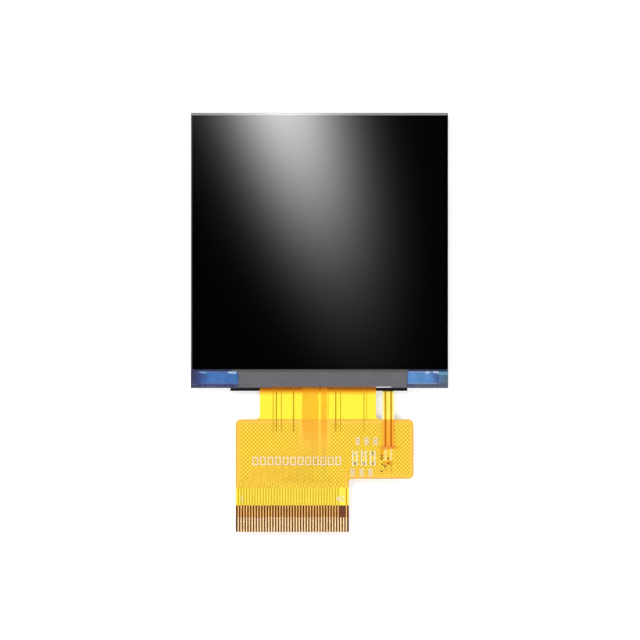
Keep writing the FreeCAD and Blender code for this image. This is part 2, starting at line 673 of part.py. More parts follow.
def tapes():
    """The tape ring under the glass and the black tape under the ledge."""
    rim = rounded_rectangle(
        "-(frame_right - film_play)", "-(frame_top_edge - film_play)",
        "frame_right - film_play", "frame_top_edge - film_play", "frame_corner",
    )
    opening = rectangle(
        "rim_tape_width - frame_right", "rim_tape_lamp_width - frame_top_edge",
        "frame_right - rim_tape_width", "frame_top_edge - rim_tape_width",
    )
    ledge = rectangle(
        "ledge_tape_left - glass_right", "-top - ledge_tape_lip",
        "glass_right - ledge_tape_right", "filter_foot - film_play",
    )
    return [
        plates("rim_tape", [rim, opening], "frame_level", "rim_tape_thick"),
        plate("ledge_tape", ledge, "cell_level", "rear_polarizer_thick"),
    ]


def driver_parts():
    """The driver chip, the film that bonds the flex, and the grey tape folded over both."""
    chip_top = "filter_foot - chip_gap"
    chip = rectangle(
        "neck_left + chip_inset", f"{chip_top} - chip_depth", "neck_right - chip_inset", chip_top,
    )
    bond = rectangle("neck_left", "-top", "neck_right", "bond_depth - top")
    body = new_body("driver_cover_tape")
    high = "array_face + chip_thick"
    low = "flex_face"
    step = f"{chip_top} - chip_depth"
    thick = "cover_tape_thick"
    edge = "cover_tape_edge - top"
    landing = "bond_depth - top"
    profile = [
        ("filter_foot", high), (step, high), (landing, low), (edge, low),
        (edge, f"{low} + {thick}"), (f"{landing} + {thick} / 2", f"{low} + {thick}"),
        (f"{step} + {thick} / 2", f"{high} + {thick}"), ("filter_foot", f"{high} + {thick}"),
    ]
    folded = draw(body, "tape_profile", [profile], plane="YZ_Plane", level="grey_left")
    pad(body, "folded_tape", folded, "grey_right - grey_left")
    return [
        plate("driver_chip", chip, "array_face", "chip_thick"),
        plate("bond_film", bond, "array_face", "bond_thick"),
        body,
    ]


def ledge_sealant(name, start, length):
    """A run of blue sealant that climbs the front glass's edge and ends in a round foot."""
    body = new_body(name)
    surface = "array_face + sealant_thick"
    foot = "filter_foot - sealant_depth"
    profile = [
        ("filter_foot", "array_face"),
        ("filter_foot", f"{surface} + sealant_rise", "sealant_rise", "right"),
        ("filter_foot - sealant_rise", surface),
        (f"{foot} + sealant_thick", surface, "sealant_thick", "left"),
        (foot, "array_face"),
    ]
    sketch = draw(body, name + "_profile", [profile], plane="YZ_Plane", level=start)
    pad(body, name + "_bead", sketch, length)
    return body


def flex_outline(head, foot, tail_corner):
    """The outline of the main flex between two heights."""
    return rounded([
        ("neck_left", head, None), ("neck_left", "wide_top", "neck_round"),
        ("tail_left", "wide_top", "wide_round"), ("tail_left", foot, tail_corner),
        ("tail_right", foot, tail_corner), ("tail_right", "wide_foot", "tail_round"),
        ("wide_right", "wide_foot", "wide_round"), ("wide_right", "wide_top", "wide_round"),
        ("neck_right", "wide_top", "neck_round"), ("neck_right", head, None),
    ])


def jumper_boxes(half_width, foot, height):
    """A like rectangle at each jumper place."""
    boxes = []
    for place in range(int(number("jumper_count"))):
        middle = f"jumper_left + {place} * jumper_pitch"
        low = f"jumper_middle + {foot}"
        boxes.append(
            rectangle(f"{middle} - {half_width}", low, f"{middle} + {half_width}", f"{low} + {height}")
        )
    return boxes


def lamp_pad_boxes(margin):
    """The outlines of the two lamp pads, with a margin at the sides and the foot."""
    half = f"(lamp_pad_width / 2 + {margin})"
    boxes = []
    for step in (0, 1):
        middle = f"first_lamp_pad + {step} * lead_trace_pitch"
        foot = f"lamp_pad_foot - {margin}"
        boxes.append(rectangle(f"{middle} - {half}", foot, f"{middle} + {half}", "lead_end"))
    return boxes


def main_flex():
    """The main flex: base film, ground mesh, cover film and stiffener."""
    mesh = rounded([
        ("tail_left + mesh_margin", "wide_top - mesh_margin", "wide_round"),
        ("tail_left + mesh_margin", "mesh_foot", None), ("tail_right - mesh_margin", "mesh_foot", None),
        ("tail_right - mesh_margin", "wide_foot + mesh_margin", None),
        ("wide_right - mesh_margin", "wide_foot + mesh_margin", "wide_round"),
        ("wide_right - mesh_margin", "wide_top - mesh_margin", "wide_round"),
    ])
    stiffener = rectangle("tail_left", "tail_foot", "tail_right", "tail_foot + stiffener_length")
    base = flex_outline("bond_depth - top", "tail_foot", "tail_corner")
    cover = new_body("flex_cover_film")
    film_outline = flex_outline("cover_tape_edge - top", "contact_top", None)
    cover_sketch = draw(cover, "cover_outline", [film_outline], level="cover_level")
    pad(cover, "cover_sheet", cover_sketch, "cover_film_thick")
    reach = "(jumper_pad_gap / 2 + jumper_pad_length + pad_window)"
    windows = jumper_boxes("(jumper_pad_width / 2 + pad_window)", f"(0 - {reach})", f"2 * {reach}")
    windows += lamp_pad_boxes("pad_window")
    window_sketch = draw(cover, "window_outlines", windows, level="cover_level")
    cut(cover, "pad_windows", window_sketch, "cover_film_thick")
    return [
        plate("flex_base_film", base, "flex_level", "flex_base_thick"),
        plate("ground_mesh", mesh, "flex_level - mesh_thick", "mesh_thick"),
        cover,
        plate("flex_stiffener", stiffener, "flex_level - stiffener_thick", "stiffener_thick"),
    ]


def neck_traces():
    """The single conductors that show in the neck, left and right of the bundle."""
    foot = "wide_top - line_reach"
    lines = []
    for place, width in (
        ("line_feather", "fine_line_width"), ("line_left", "heavy_line_width"),
        ("line_beside", "fine_line_width"), ("line_long", "heavy_line_width"),
        ("line_right", "heavy_line_width"), ("line_after", "fine_line_width"),
        ("line_last", "fine_line_width"),
    ):
        middle = f"neck_left + {place}"
        lines.append(rectangle(f"{middle} - {width} / 2", foot, f"{middle} + {width} / 2", "trace_head"))
    return plates("neck_traces", lines, "copper_level", "copper_thick")


def contact_fingers():
    """The row of bare contacts."""
    body = new_body("contact_fingers")
    half = "contact_width / 2"
    outline = rectangle(f"first_contact - {half}", "tail_foot", f"first_contact + {half}", "contact_top")
    base = draw(body, "contact_outline", [outline], level="copper_level")
    first = pad(body, "contact", base, "copper_thick")
    repeat(body, "contact_row", first, base, "H_Axis", "contact_count", "contact_pitch")
    return body


def contact_sides(contact):
    """The sides of a contact's covered end: up the right one, and down the left one."""
    neck = "contact_top + covered_length"
    turns = (("contact_width / 2", "contact_top"), ("contact_width / 2", neck),
             ("trace_width / 2", f"{neck} + contact_taper"))
    right = [(f"{contact} + {half}", height) for half, height in turns]
    left = [(f"{contact} - {half}", height) for half, height in reversed(turns)]
    return right, left


def bundle_conductor(index):
    """Up from a contact, aslant to its place in the bundle and on up the neck."""
    contact = f"(first_contact + {index} * contact_pitch)"
    place = f"(neck_left + bundle_start + {index} * bundle_pitch)"
    if index >= number("bundle_split"):
        place = f"({place} + bundle_gap)"
    aside = f"({place} - {contact})" if number(place) > number(contact) else f"({contact} - {place})"
    fan_head = f"fan_foot + {aside} * fan_slope"
    wide = "trace_width / 2"
    slim = "bundle_line / 2"
    right, left = contact_sides(contact)
    return [
        *right, (f"{contact} + {wide}", "fan_foot"), (f"{place} + {slim}", fan_head),
        (f"{place} + {slim}", "trace_head"), (f"{place} - {slim}", "trace_head"),
        (f"{place} - {slim}", fan_head), (f"{contact} - {wide}", "fan_foot"), *left,
    ]


def lamp_conductor(contact, level, pad_middle):
    """Up from a contact, across the wide part and up to a lamp pad."""
    half = "trace_width / 2"
    right, left = contact_sides(contact)
    return [
        *right, (f"{contact} + {half}", f"{level} - {half}"), (f"{pad_middle} + {half}", f"{level} - {half}"),
        (f"{pad_middle} + {half}", "lamp_pad_foot"), (f"{pad_middle} - {half}", "lamp_pad_foot"),
        (f"{pad_middle} - {half}", f"{level} + {half}"), (f"{contact} - {half}", f"{level} + {half}"), *left,
    ]


def contact_traces():
    """The contacts' conductors under the cover film. The last two that are used feed the lamps."""
    bundled = int(number("contact_count - 2 - unused_contacts"))
    outlines = [bundle_conductor(index) for index in range(bundled)]
    near_line = "lamp_pad_foot - lamp_line_drop"
    near_contact = f"first_contact + {bundled} * contact_pitch"
    outlines.append(lamp_conductor(near_contact, near_line, "first_lamp_pad"))
    outlines.append(
        lamp_conductor("last_contact", f"{near_line} - lamp_line_gap", "first_lamp_pad + lead_trace_pitch")
    )
    body = new_body("contact_traces")
    for start in range(0, len(outlines), LOOPS_PER_SKETCH):
        group = outlines[start:start + LOOPS_PER_SKETCH]
        sketch = draw(body, f"conductor_outlines_{start}", group, level="copper_level")
        pad(body, f"conductors_{start}", sketch, "copper_thick")
    return body


def jumper_pads():
    """The tinned pads of the jumper places, bare in the cover film's windows."""
    outlines = []
    for foot in ("(0 - jumper_pad_gap / 2 - jumper_pad_length)", "jumper_pad_gap / 2"):
        outlines += jumper_boxes("jumper_pad_width / 2", foot, "jumper_pad_length")
    return plates("jumper_pads", outlines, "copper_level", "copper_thick")


def lamp_pads():
    """The two tinned pads that the lamp lead is soldered to, bare in the cover film's windows."""
    return plates("lamp_pads", lamp_pad_boxes("0"), "copper_level", "copper_thick")


def solder_joints():
    """The two solder joints that run from the lamp lead's conductors down to the lamp pads."""
    body = new_body("solder_joints")
    crest = "flex_face + strip_thick + copper_thick"
    profile = [
        ("lead_end", "cover_level"), ("lead_end", crest), ("lead_end - solder_length / 4", crest),
        ("lead_end - solder_length", "cover_level"),
    ]
    start = "first_lamp_pad - solder_width / 2"
    sketch = draw(body, "joint_profile", [profile], plane="YZ_Plane", level=start)
    first = pad(body, "joint", sketch, "solder_width")
    repeat(body, "joint_pair", first, sketch, "N_Axis", "2", "lead_trace_pitch")
    return body


def build():
    """Make every piece of the module."""
    left_start = "sealant_left_end - glass_right"
    left_length = "grey_left - sealant_gap + glass_right - sealant_left_end"
    right_start = "grey_right + sealant_gap"
    right_length = "glass_right - sealant_right_end - grey_right - sealant_gap"
    pieces = [rear_bezel(), backlight_frame()]
    pieces += light_stack()
    pieces += backlight_lamps()
    pieces += [backlight_flex(), backlight_traces()]
    pieces += tapes()
    pieces += display_cell()
    pieces += driver_parts()
    pieces.append(ledge_sealant("ledge_sealant_left", left_start, left_length))
    pieces.append(ledge_sealant("ledge_sealant_right", right_start, right_length))
    pieces += main_flex()
    pieces += [neck_traces(), contact_traces(), contact_fingers()]
    pieces += [jumper_pads(), lamp_pads(), solder_joints()]
    doc.recompute()
    return pieces


def check(pieces):
    """Stop if a feature failed or a piece is not a valid solid."""
    failed = [item.Name for item in doc.Objects if {"Invalid", "Error"} & set(item.State)]
    if failed:
        raise ValueError("failed: " + ", ".join(failed))
    for piece in pieces:
        shape = piece.Shape
        if shape.isNull() or not shape.isValid() or not shape.Solids:
            raise ValueError(f"{piece.Label} is not a valid solid")


def write(pieces):
    """Write each piece to a file that has its name."""
    os.makedirs("parts", exist_ok=True)
    for piece in pieces:
        piece.Shape.exportStep(f"parts/{piece.Label}.step")
        box = piece.Shape.BoundBox
        across = f"X {box.XMin:.2f} {box.XMax:.2f}  Y {box.YMin:.2f} {box.YMax:.2f}"
        upward = f"Z {box.ZMin:.3f} {box.ZMax:.3f}"
        amount = f"{len(piece.Shape.Solids)} solids, {piece.Shape.Volume:.3f} mm3"
        print(f"{piece.Label}: {amount}, {across}  {upward}")


fill_sheet()
all_pieces = build()
check(all_pieces)
write(all_pieces)
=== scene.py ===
"""Finishes, printed marks, solder, studio and camera for a small square display module.

The module lies on its steel back with its amber flexible tail towards -Y. The solids come from the
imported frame. This file gives each of them its finish, models what is printed or soldered on the tail,
and sets up a plain studio seen from straight above.
"""

import math

import bpy
from mathutils import Color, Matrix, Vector


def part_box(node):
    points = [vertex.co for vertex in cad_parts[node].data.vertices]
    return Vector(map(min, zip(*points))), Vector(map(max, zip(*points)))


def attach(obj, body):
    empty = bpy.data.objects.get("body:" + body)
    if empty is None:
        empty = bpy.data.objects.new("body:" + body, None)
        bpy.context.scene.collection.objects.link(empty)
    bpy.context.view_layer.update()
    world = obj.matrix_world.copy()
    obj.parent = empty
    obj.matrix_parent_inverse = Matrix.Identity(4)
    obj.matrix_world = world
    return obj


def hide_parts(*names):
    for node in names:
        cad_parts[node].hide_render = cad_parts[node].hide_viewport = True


bl_info = {
    "name": "Display Module Finish",
    "version": (1, 0, 0),
    "blender": (4, 5, 0),
    "location": "View3D > Sidebar > Display Module",
    "description": "Finishes and small details for a square display module with a flexible tail",
    "category": "Object",
}

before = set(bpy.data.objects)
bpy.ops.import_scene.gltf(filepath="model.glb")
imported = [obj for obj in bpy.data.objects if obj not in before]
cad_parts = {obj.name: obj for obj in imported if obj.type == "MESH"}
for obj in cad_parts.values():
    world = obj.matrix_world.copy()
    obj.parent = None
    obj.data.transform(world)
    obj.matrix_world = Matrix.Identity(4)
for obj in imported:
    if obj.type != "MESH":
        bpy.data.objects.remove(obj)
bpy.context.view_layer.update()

# Lengths and places are in millimetres, apart from the panel's settings and what Blender's tools get.
MM = 0.001


def in_mm(corners):
    """A box's corners in millimetres."""
    return [corner / MM for corner in corners]


def colour(text):
    """The linear colour of a hexadecimal screen colour."""
    levels = [int(text[start:start + 2], 16) / 255 for start in (0, 2, 4)]
    return tuple(
        level / 12.92 if level <= 0.04045 else ((level + 0.055) / 1.055) ** 2.4 for level in levels
    )


# The photograph's frame: its side, the part's origin in it and its scale on the tail's face, in pixels.
PHOTO_SIDE = 640
ORIGIN_PIXEL = Vector((319.45, 250.35))
PIXELS_PER_MM = 5.544

# Where the frame has the zones that finishes and details follow.
TAIL = in_mm(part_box("flex_base_film"))
MESH = in_mm(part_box("ground_mesh"))
COVER = in_mm(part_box("flex_cover_film"))
STIFFENER = in_mm(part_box("flex_stiffener"))
FINGERS = in_mm(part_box("contact_fingers"))
JUMPERS = in_mm(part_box("jumper_pads"))
LAMP_PADS = in_mm(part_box("lamp_pads"))
JOINTS = in_mm(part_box("solder_joints"))
LEAD = in_mm(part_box("backlight_flex"))
LEDGE_TAPE = in_mm(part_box("ledge_tape"))
GREY_TAPE = in_mm(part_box("driver_cover_tape"))
FRONT_GLASS = in_mm(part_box("color_filter_glass"))
REAR_GLASS = in_mm(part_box("array_glass"))
POLARIZER = in_mm(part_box("front_polarizer"))
RESIN_LEFT = in_mm(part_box("ledge_sealant_left"))
RESIN_RIGHT = in_mm(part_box("ledge_sealant_right"))
FACE = COVER[1].z

# The lamp lead's sides, the wide part's upper and lower edge and the stiffener's upper edge.
LEAD_SIDES = (LAMP_PADS[0].x - 0.3, LAMP_PADS[1].x + 0.3)
TAIL_HEAD = MESH[1].y + MESH[0].x - TAIL[0].x
WIDE_FOOT = min(
    vertex.co.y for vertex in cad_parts["flex_base_film"].data.vertices
    if vertex.co.x > (STIFFENER[1].x + 2) * MM
) / MM
BACKED = STIFFENER[1].y

# The tail's contacts: their count, how many have no conductor, the usual pitch and a bare contact's width.
CONTACTS = 40
UNUSED_CONTACTS = 2
CONTACT_PITCH = 0.5
CONTACT_WIDTH = FINGERS[1].x - FINGERS[0].x - (CONTACTS - 1) * CONTACT_PITCH

# Half the width of a lamp pad and of a jumper pad, and the middles of the three jumper places.
LAMP_PAD_HALF = 0.225
JUMPER_PAD_HALF = 0.18
JUMPER_SPAN = JUMPERS[1].x - JUMPERS[0].x - 2 * JUMPER_PAD_HALF
JUMPER_MIDDLES = [JUMPERS[0].x + JUMPER_PAD_HALF + JUMPER_SPAN * step / 2 for step in range(3)]

# The middles of two faint conductors in the neck.
FAINT_LINES = (1.61, 8.54)

# Where fine copper fans out over the ground mesh: middle, half width, foot and head.
FAN = (-0.9, 3.2, -37.0, -34.0)

# Where the conductors crowd together and don't stand out: left, right, foot and head.
CROWDED = (-1.3, 1.6, -41.6, -38.6)

# Flux round the lamp lead's joints: the middle, half width and half length of each spot.
FLUX_SPOTS = ((12.6, -35.55, 2.0, 0.4), (11.25, -36.6, 0.35, 1.3), (12.4, -38.3, 0.9, 0.5))

# Plated holes, from the corner of the lamp pads' box at the lower left. A hole without an X lies midway.
HOLES = ((-0.45, 0.9), (-0.45, 0.35), (None, 0.45), (-0.3, -0.65), (0.15, -0.95), (-0.45, -1.9), (None, -0.5))

# The row of blank boxes: their count, pitch, size, stroke and the left end, from the first contact's side.
BOX_COUNT = 12
BOX_PITCH = 1.36
BOX_SIZE = (1.02, 1.5)
BOX_STROKE = 0.2
BOX_START = 2.75

# The streak that the screen mirrors, as the photograph shows it: middle, widths and slant.
STREAK_MIDDLE = Vector((-9.6, 36.0))
STREAK_ACROSS = 5.95
STREAK_ALONG = 17.8
STREAK_SLANT = -0.294

# Inner pieces that only shade, grain and gloss set apart: node, material, shade, darker shade, scale of the
# mottling, relief, metallic share and roughness.
PLAIN_PIECES = (
    ("reflector_film", "reflector_film", "e8eaec", "d5d9dd", 0.4, 0.004, 0.6, (0.12, 0.25)),
    ("diffuser_film", "diffuser_film", "f2f2f0", "e4e4e2", 3.0, 0.01, 0.0, (0.6, 0.8)),
    ("lamp_housings", "lamp_housing", "f4f3ee", "e2e1db", 2.0, 0.006, 0.0, (0.35, 0.5)),
    ("lamp_phosphor", "lamp_phosphor", "f0d840", "dcbf2c", 6.0, 0.01, 0.0, (0.4, 0.6)),
    ("rear_polarizer", "rear_polarizer", "18181b", "0e0e10", 1.0, 0.003, 0.0, (0.2, 0.3)),
    ("cell_seal", "cell_seal", "c9c4b4", "aaa593", 4.0, 0.004, 0.0, (0.45, 0.6)),
    ("liquid_crystal", "liquid_crystal", "c9cfcb", "b4bbb7", 2.0, 0.001, 0.0, (0.05, 0.1)),
    ("driver_chip", "driver_chip", "3a3b40", "2a2b30", 3.0, 0.002, 0.3, (0.15, 0.3)),
    ("bond_film", "bond_film", "a8a290", "6f6a58", 9.0, 0.004, 0.0, (0.4, 0.6)),
)

# Lesser tints of the glasses and of the resin that runs out over the ledge.
DARK_CELL = colour("101014")
CELL_EDGE = (colour("26302f"), colour("3c4846"))
LEDGE_FOOT = colour("5c5868")
LEDGE_SIDES = colour("24223a")
LEDGE_LOWER_RIGHT = colour("525c68")
RUN_OUT = (colour("54759e"), colour("465868"))
RUN_OUT_GLINT = colour("6ca8c4")
LEFT_GLINTS = (colour("6ea4dc"), colour("b4d6ec"))
RIGHT_GLINT = colour("c2dcec")

# Lesser tints round the grey tape's foot and of the tail, its contacts and the lamp lead. The amber foot and
# the gold sides are painted shade.
SHADED_AMBER_FOOT = colour("9a5c10")
FRAME_EDGE = colour("f0eff4")
UNUSED_STIFFENER = colour("6e4640")
CONDUCTOR_SIDES = colour("6c3000")
WORN_GOLD = colour("d9a25c")
GOLD_SHADED_SIDES = colour("5c2600")
LEAD_EDGE = colour("fff6c6")
LEAD_END = colour("f98d2e")
PAD_SIDES = colour("f0b428")
MESH_COPPER = (colour("d9932e"), colour("b9741c"))
STIFFENER_BROWN = colour("a8651a")
GUIDE = (colour("dfe8ea"), colour("ffffff"))
PRISM = (colour("cfd6da"), colour("eef2f4"))


def colour_property(label, text, description):
    """A colour that the panel shows, with its default as a screen colour."""
    return bpy.props.FloatVectorProperty(
        name=label, description=description, subtype="COLOR", size=3, min=0, max=1, default=colour(text),
    )


def length_property(label, millimetres, description):
    """A length that the panel shows, with its default in millimetres."""
    return bpy.props.FloatProperty(
        name=label, description=description, unit="LENGTH", min=0, default=millimetres * MM,
    )


def power_property(label, watts, description):
    """A lamp's power that the panel shows."""
    return bpy.props.FloatProperty(name=label, description=description, unit="POWER", min=0, default=watts)


def level_property(label, default, description):
    """A plain number that the panel shows."""
    return bpy.props.FloatProperty(name=label, description=description, min=0, default=default)


class PanelFinish(bpy.types.PropertyGroup):
    """Colours and finish of the screen, its ledge and the tray."""

    screen: colour_property("Screen", "020202", "Front film over the dark screen")
    screen_roughness: level_property("Screen roughness", 0.05, "Gloss of the semi-matt front film")
    glass_rim: colour_property("Glass rim", "828486", "Ground edge of the front glass")
    lower_rim: colour_property("Lower rim", "525152", "Front glass between the screen and the grey tape")
    ledge: colour_property("Ledge", "464a78", "Bare rear glass with its metal lines")
    grey_tape: colour_property("Grey tape", "605f63", "Tape folded over the driver chip")
    black_tape: colour_property("Black tape", "0b0a09", "Tape under the ledge and round the glass")
    sealant: colour_property("Sealant", "4070b2", "Blue resin on the ledge")
    sealant_light: colour_property("Lighter sealant", "5a8ecb", "Blue resin at the right")
    sealant_end: colour_property("Sealant end", "323f74", "Blue resin where it runs out thin")
    steel: colour_property("Steel", "b9babc", "Rolled steel of the tray")
    moulding: colour_property("Moulding", "efefea", "White light frame")


class TailFinish(bpy.types.PropertyGroup):
    """Colours and pattern of the flexible tail."""

    film: colour_property("Film", "fff246", "Amber film in the neck")
    mesh_film: colour_property("Film over the mesh", "ffec56", "Amber film in the holes of the ground mesh")
    mesh_edge: colour_property("Mesh edge", "fdd056", "Amber film over the ground mesh's solid edge")
    mesh_line: colour_property("Mesh line", "e4b428", "Amber film over a line of the ground mesh")
    conductor_film: colour_property("Film by the contacts", "fff058", "Amber film between the conductors")
    conductor_line: colour_property("Covered conductor", "dcb01a", "Fine copper line under amber film")
    # The partly shaded and the shaded film are painted shade below the black tape's foot.
    half_shaded_film: colour_property("Warm film", "f59a10", "Amber film just below the black tape")
    shaded_film: colour_property("Shaded film", "8c4e04", "Amber film over the black tape")
    backed_film: colour_property("Backed film", "4a1c00", "Film over the stiffener")
    backed_cover: colour_property("Backed cover film", "884600", "Cover film over the stiffener")
    conductor: colour_property("Conductor", "c08c00", "Copper under amber film")
    bundle: colour_property("Bundle", "ffb20a", "Fine copper of the bundle under amber film")
    fan: colour_property("Fan", "ffd452", "Fine copper where it fans out over the ground mesh")
    backed_conductor: colour_property("Backed conductor", "ffd080", "Copper under film over the stiffener")
    gold: colour_property("Gold", "ffdaa4", "Plated contacts")
    lead: colour_property("Lead", "fce75a", "Lamp lead where it is free")
    lapped_lead: colour_property("Lapped lead", "fca61c", "Lamp lead where it lies on the tail")
    lead_conductor: colour_property("Lead conductor", "bf9004", "Copper of the lamp lead")
    lapped_conductor: colour_property("Lapped conductor", "b86200", "Copper of the lamp lead over the tail")
    ink: colour_property("Ink", "ffecd0", "White print, tinted by the film")
    flux: colour_property("Flux", "f2a21a", "Amber flux round the lamp lead's joints")
    bright_ink: colour_property("Bright ink", "fff6d2", "White print beside the jumper places")
    tin: colour_property("Tin", "e4dfc8", "Solder")
    fluxed_tin: colour_property("Fluxed solder", "f6a238", "Solder of the lamp lead under amber flux")
    pad: colour_property("Pad", "fbe48e", "Tinned pads that the film's windows show")
    mesh_pitch: length_property("Mesh pitch", 0.51, "Distance between lines of the ground mesh")
    mesh_bar: length_property("Mesh bar", 0.15, "Width of a line of the ground mesh")
    mesh_border: length_property("Mesh border", 0.38, "Width of the ground mesh's solid edge")
    ink_thickness: length_property("Ink thickness", 0.012, "How far print stands on the film")


class StudioLight(bpy.types.PropertyGroup):
    """Floor, lamps and camera."""

    floor: colour_property("Floor", "f4f4f4", "Plain pale floor")
    sky: level_property("Sky", 1.0, "Light from low all round")
    zenith: level_property("Zenith", 0.02, "Light from straight above, which the screen mirrors")
    key_power: power_property("Key lamp", 2.1, "Soft lamp behind on the left")
    fill_power: power_property("Fill lamp", 0.7, "Soft lamp over the tail's end")
    streak: level_property("Streak lamp", 20.0, "Strength of the narrow lamp that the screen mirrors")
    camera_height: length_property("Camera height", 500, "Height of the camera over the module")


class Value:
    """A socket's output that Python sums can use. Each sum or step adds its node."""

    def __init__(self, graph, socket):
        self.graph = graph
        self.socket = socket

    def __add__(self, other):
        return self.graph.math("ADD", self, other)

    __radd__ = __add__

    def __sub__(self, other):
        return self.graph.math("SUBTRACT", self, other)

    def __rsub__(self, other):
        return self.graph.math("SUBTRACT", other, self)

    def __mul__(self, other):
        return self.graph.math("MULTIPLY", self, other)

    __rmul__ = __mul__

    def __truediv__(self, other):
        return self.graph.math("DIVIDE", self, other)

    def __rtruediv__(self, other):
        return self.graph.math("DIVIDE", other, self)

    def __abs__(self):
        return self.graph.math("ABSOLUTE", self)

    def most(self, other):
        """The larger of two numbers."""
        return self.graph.math("MAXIMUM", self, other)

    def least(self, *others):
        """The smallest of several numbers."""
        smallest = self
        for other in others:
            smallest = self.graph.math("MINIMUM", smallest, other)
        return smallest

    def wave(self, pitch, kind="COSINE"):
        """A wave of a pitch, between -1 and 1."""
        return self.graph.math(kind, self * (2 * math.pi / pitch))

    def rise(self, low, high):
        """0 below low, 1 above high and smooth between. Low may lie above high."""
        sockets = {0: self, 1: low, 2: high, 3: 0.0, 4: 1.0}
        return self.graph.node("ShaderNodeMapRange", {"interpolation_type": "SMOOTHSTEP"}, sockets)

    def past(self, mark, soft=0.05):
        """0 short of a mark and 1 past it, with a soft step between."""
        return self.rise(mark - soft, mark + soft)

    def short_of(self, mark, soft=0.05):
        """1 short of a mark and 0 past it, with a soft step between."""
        return self.rise(mark + soft, mark - soft)

    def blend(self, one, other):
        """A colour between two colours: the first at 0 and the other at 1."""
        return self.graph.node("ShaderNodeMix", {"data_type": "RGBA"}, {0: self, 6: one, 7: other}, out=2)


class Graph:
    """A node tree that is written as expressions."""

    def __init__(self, tree):
        self.tree = tree

    def node(self, kind, settings=None, sockets=None, out=0):
        """Add a node: its settings first, then the numbers, colours or links of its sockets."""
        made = self.tree.nodes.new(kind)
        for name, setting in (settings or {}).items():
            setattr(made, name, setting)
        for name, wanted in (sockets or {}).items():
            socket = made.inputs[name]
            if isinstance(wanted, Value):
                self.tree.links.new(wanted.socket, socket)
            elif isinstance(wanted, (tuple, Color)) and len(socket.default_value) == 4:
                socket.default_value = (*wanted, 1)
            else:
                socket.default_value = wanted
        return Value(self, made.outputs[out])

    def math(self, operation, *terms):
        """One sum of numbers."""
        return self.node("ShaderNodeMath", {"operation": operation}, dict(enumerate(terms)))

    def place(self, turn=0.0, stretch=(1, 1, 1)):
        """Where a point lies, in millimetres, turned about Z by degrees and stretched."""
        point = self.node("ShaderNodeTexCoord", out="Object")
        scale = tuple(share / MM for share in stretch)
        sockets = {"Vector": point, "Rotation": (0, 0, math.radians(turn)), "Scale": scale}
        return self.node("ShaderNodeMapping", {"vector_type": "POINT"}, sockets)

    def axes(self, place=None):
        """The three coordinates of a place, or else of the point in millimetres."""
        split = self.node("ShaderNodeSeparateXYZ", {}, {0: place or self.place()})
        return [Value(self, output) for output in split.socket.node.outputs]

    def noise(self, scale, detail=2.0, stretch=(1, 1, 1)):
        """Soft random mottling between about 0.3 and 0.7."""
        sockets = {"Vector": self.place(stretch=stretch), "Scale": scale, "Detail": detail}
        return self.node("ShaderNodeTexNoise", {}, sockets)


class Finish(Graph):
    """A material with one Principled shader."""

    def __init__(self, name, **constants):
        self.material = bpy.data.materials.new(name)
        self.material.use_nodes = True
        super().__init__(self.material.node_tree)
        self.shader = self.tree.nodes["Principled BSDF"]
        for socket, constant in constants.items():
            self.shader.inputs[socket.replace("_", " ")].default_value = constant

    def drive(self, socket, wanted):
        """Feed a shader socket that changes over the surface."""
        self.tree.links.new(wanted.socket, self.shader.inputs[socket])

    def surface(self, tint, roughness=None, height=None, depth=0.0):
        """Feed the shader its tint and, where they change too, its roughness and relief.

        The height map's full range is depth millimetres.
        """
        self.drive("Base Color", tint)
        if roughness:
            self.drive("Roughness", roughness)
        if height:
            sockets = {"Strength": 1.0, "Distance": depth * MM, "Height": height}
            self.drive("Normal", self.node("ShaderNodeBump", {}, sockets))
        return self.material

    def mottled(self, base, dark, scale, relief, roughness):
        """The usual surface of a plain part: a shade that wanders, and a grain."""
        low, high = roughness
        tint = self.noise(scale, 3.0).rise(0.3, 0.7).blend(dark, base)
        grain = self.noise(scale * 9)
        return self.surface(tint, low + grain * (high - low), grain, relief)


def shade(base, share):
    """A colour times a number."""
    return tuple(level * share for level in base)


def dress(node, material):
    """Give a solid of the frame its finish."""
    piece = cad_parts[node]
    if not piece.material_slots:
        piece.data.materials.append(material)
    for slot in piece.material_slots:
        slot.link = "OBJECT"
        slot.material = material


def screen_finish(panel):
    """Semi-matt black film, a little darker round the picture area, with a painted highlight as a pale strip
    along its top and left edges.
    """
    finish = Finish("screen_film", IOR=1.5, Specular_IOR_Level=0.5)
    x, y, _ = finish.axes()
    low, high = POLARIZER
    middle, half = (low + high) / 2, (high - low) / 2
    aside, along = abs(x - middle.x), abs(y - middle.y)
    border = aside.rise(half.x - 1.2, half.x - 1.1).most(along.rise(half.y - 1.2, half.y - 1.1))
    film = border.blend(panel.screen, shade(panel.screen, 0.55))
    # Painted highlight: a pale strip along the top and left edges, in the glass rim's tone.
    rim = y.rise(high.y - 0.43, high.y - 0.27).most(x.rise(low.x + 0.18, low.x) * 0.8)
    roughness = panel.screen_roughness - 0.01 + finish.noise(14.0, 1.0) * 0.02
    return finish.surface(rim.blend(film, shade(panel.glass_rim, 1.1)), roughness)


def rim_finish(panel):
    """Front glass: a ground light edge over the dark cell, lighter along the top as painted highlight and
    darker along the sides as painted shade.
    """
    finish = Finish("front_glass", IOR=1.52, Coat_Weight=0.6, Coat_Roughness=0.08)
    x, y, _ = finish.axes()
    aside = abs(x)
    high = FRONT_GLASS[1]
    near_top = y.rise(high.y - 0.35, high.y - 0.05)
    near_side = aside.rise(high.x - 0.25, high.x - 0.05)
    rim = panel.glass_rim
    # Painted light: the rim's sides take darker copies of its tone as painted shade, and the top keeps the
    # full tone as painted highlight.
    edge = finish.noise(3.0, 3.0).rise(0.35, 0.65).blend(shade(rim, 0.4), shade(rim, 0.75))
    edge = near_top.blend(edge, rim)
    strip = aside.past(GREY_TAPE[1].x, 0.3).blend(panel.lower_rim, shade(panel.sealant_end, 0.45))
    lower = y.short_of(POLARIZER[0].y, 0.1).blend(DARK_CELL, strip)
    return finish.surface(near_top.most(near_side).blend(lower, edge), 0.18 + finish.noise(6.0) * 0.2)


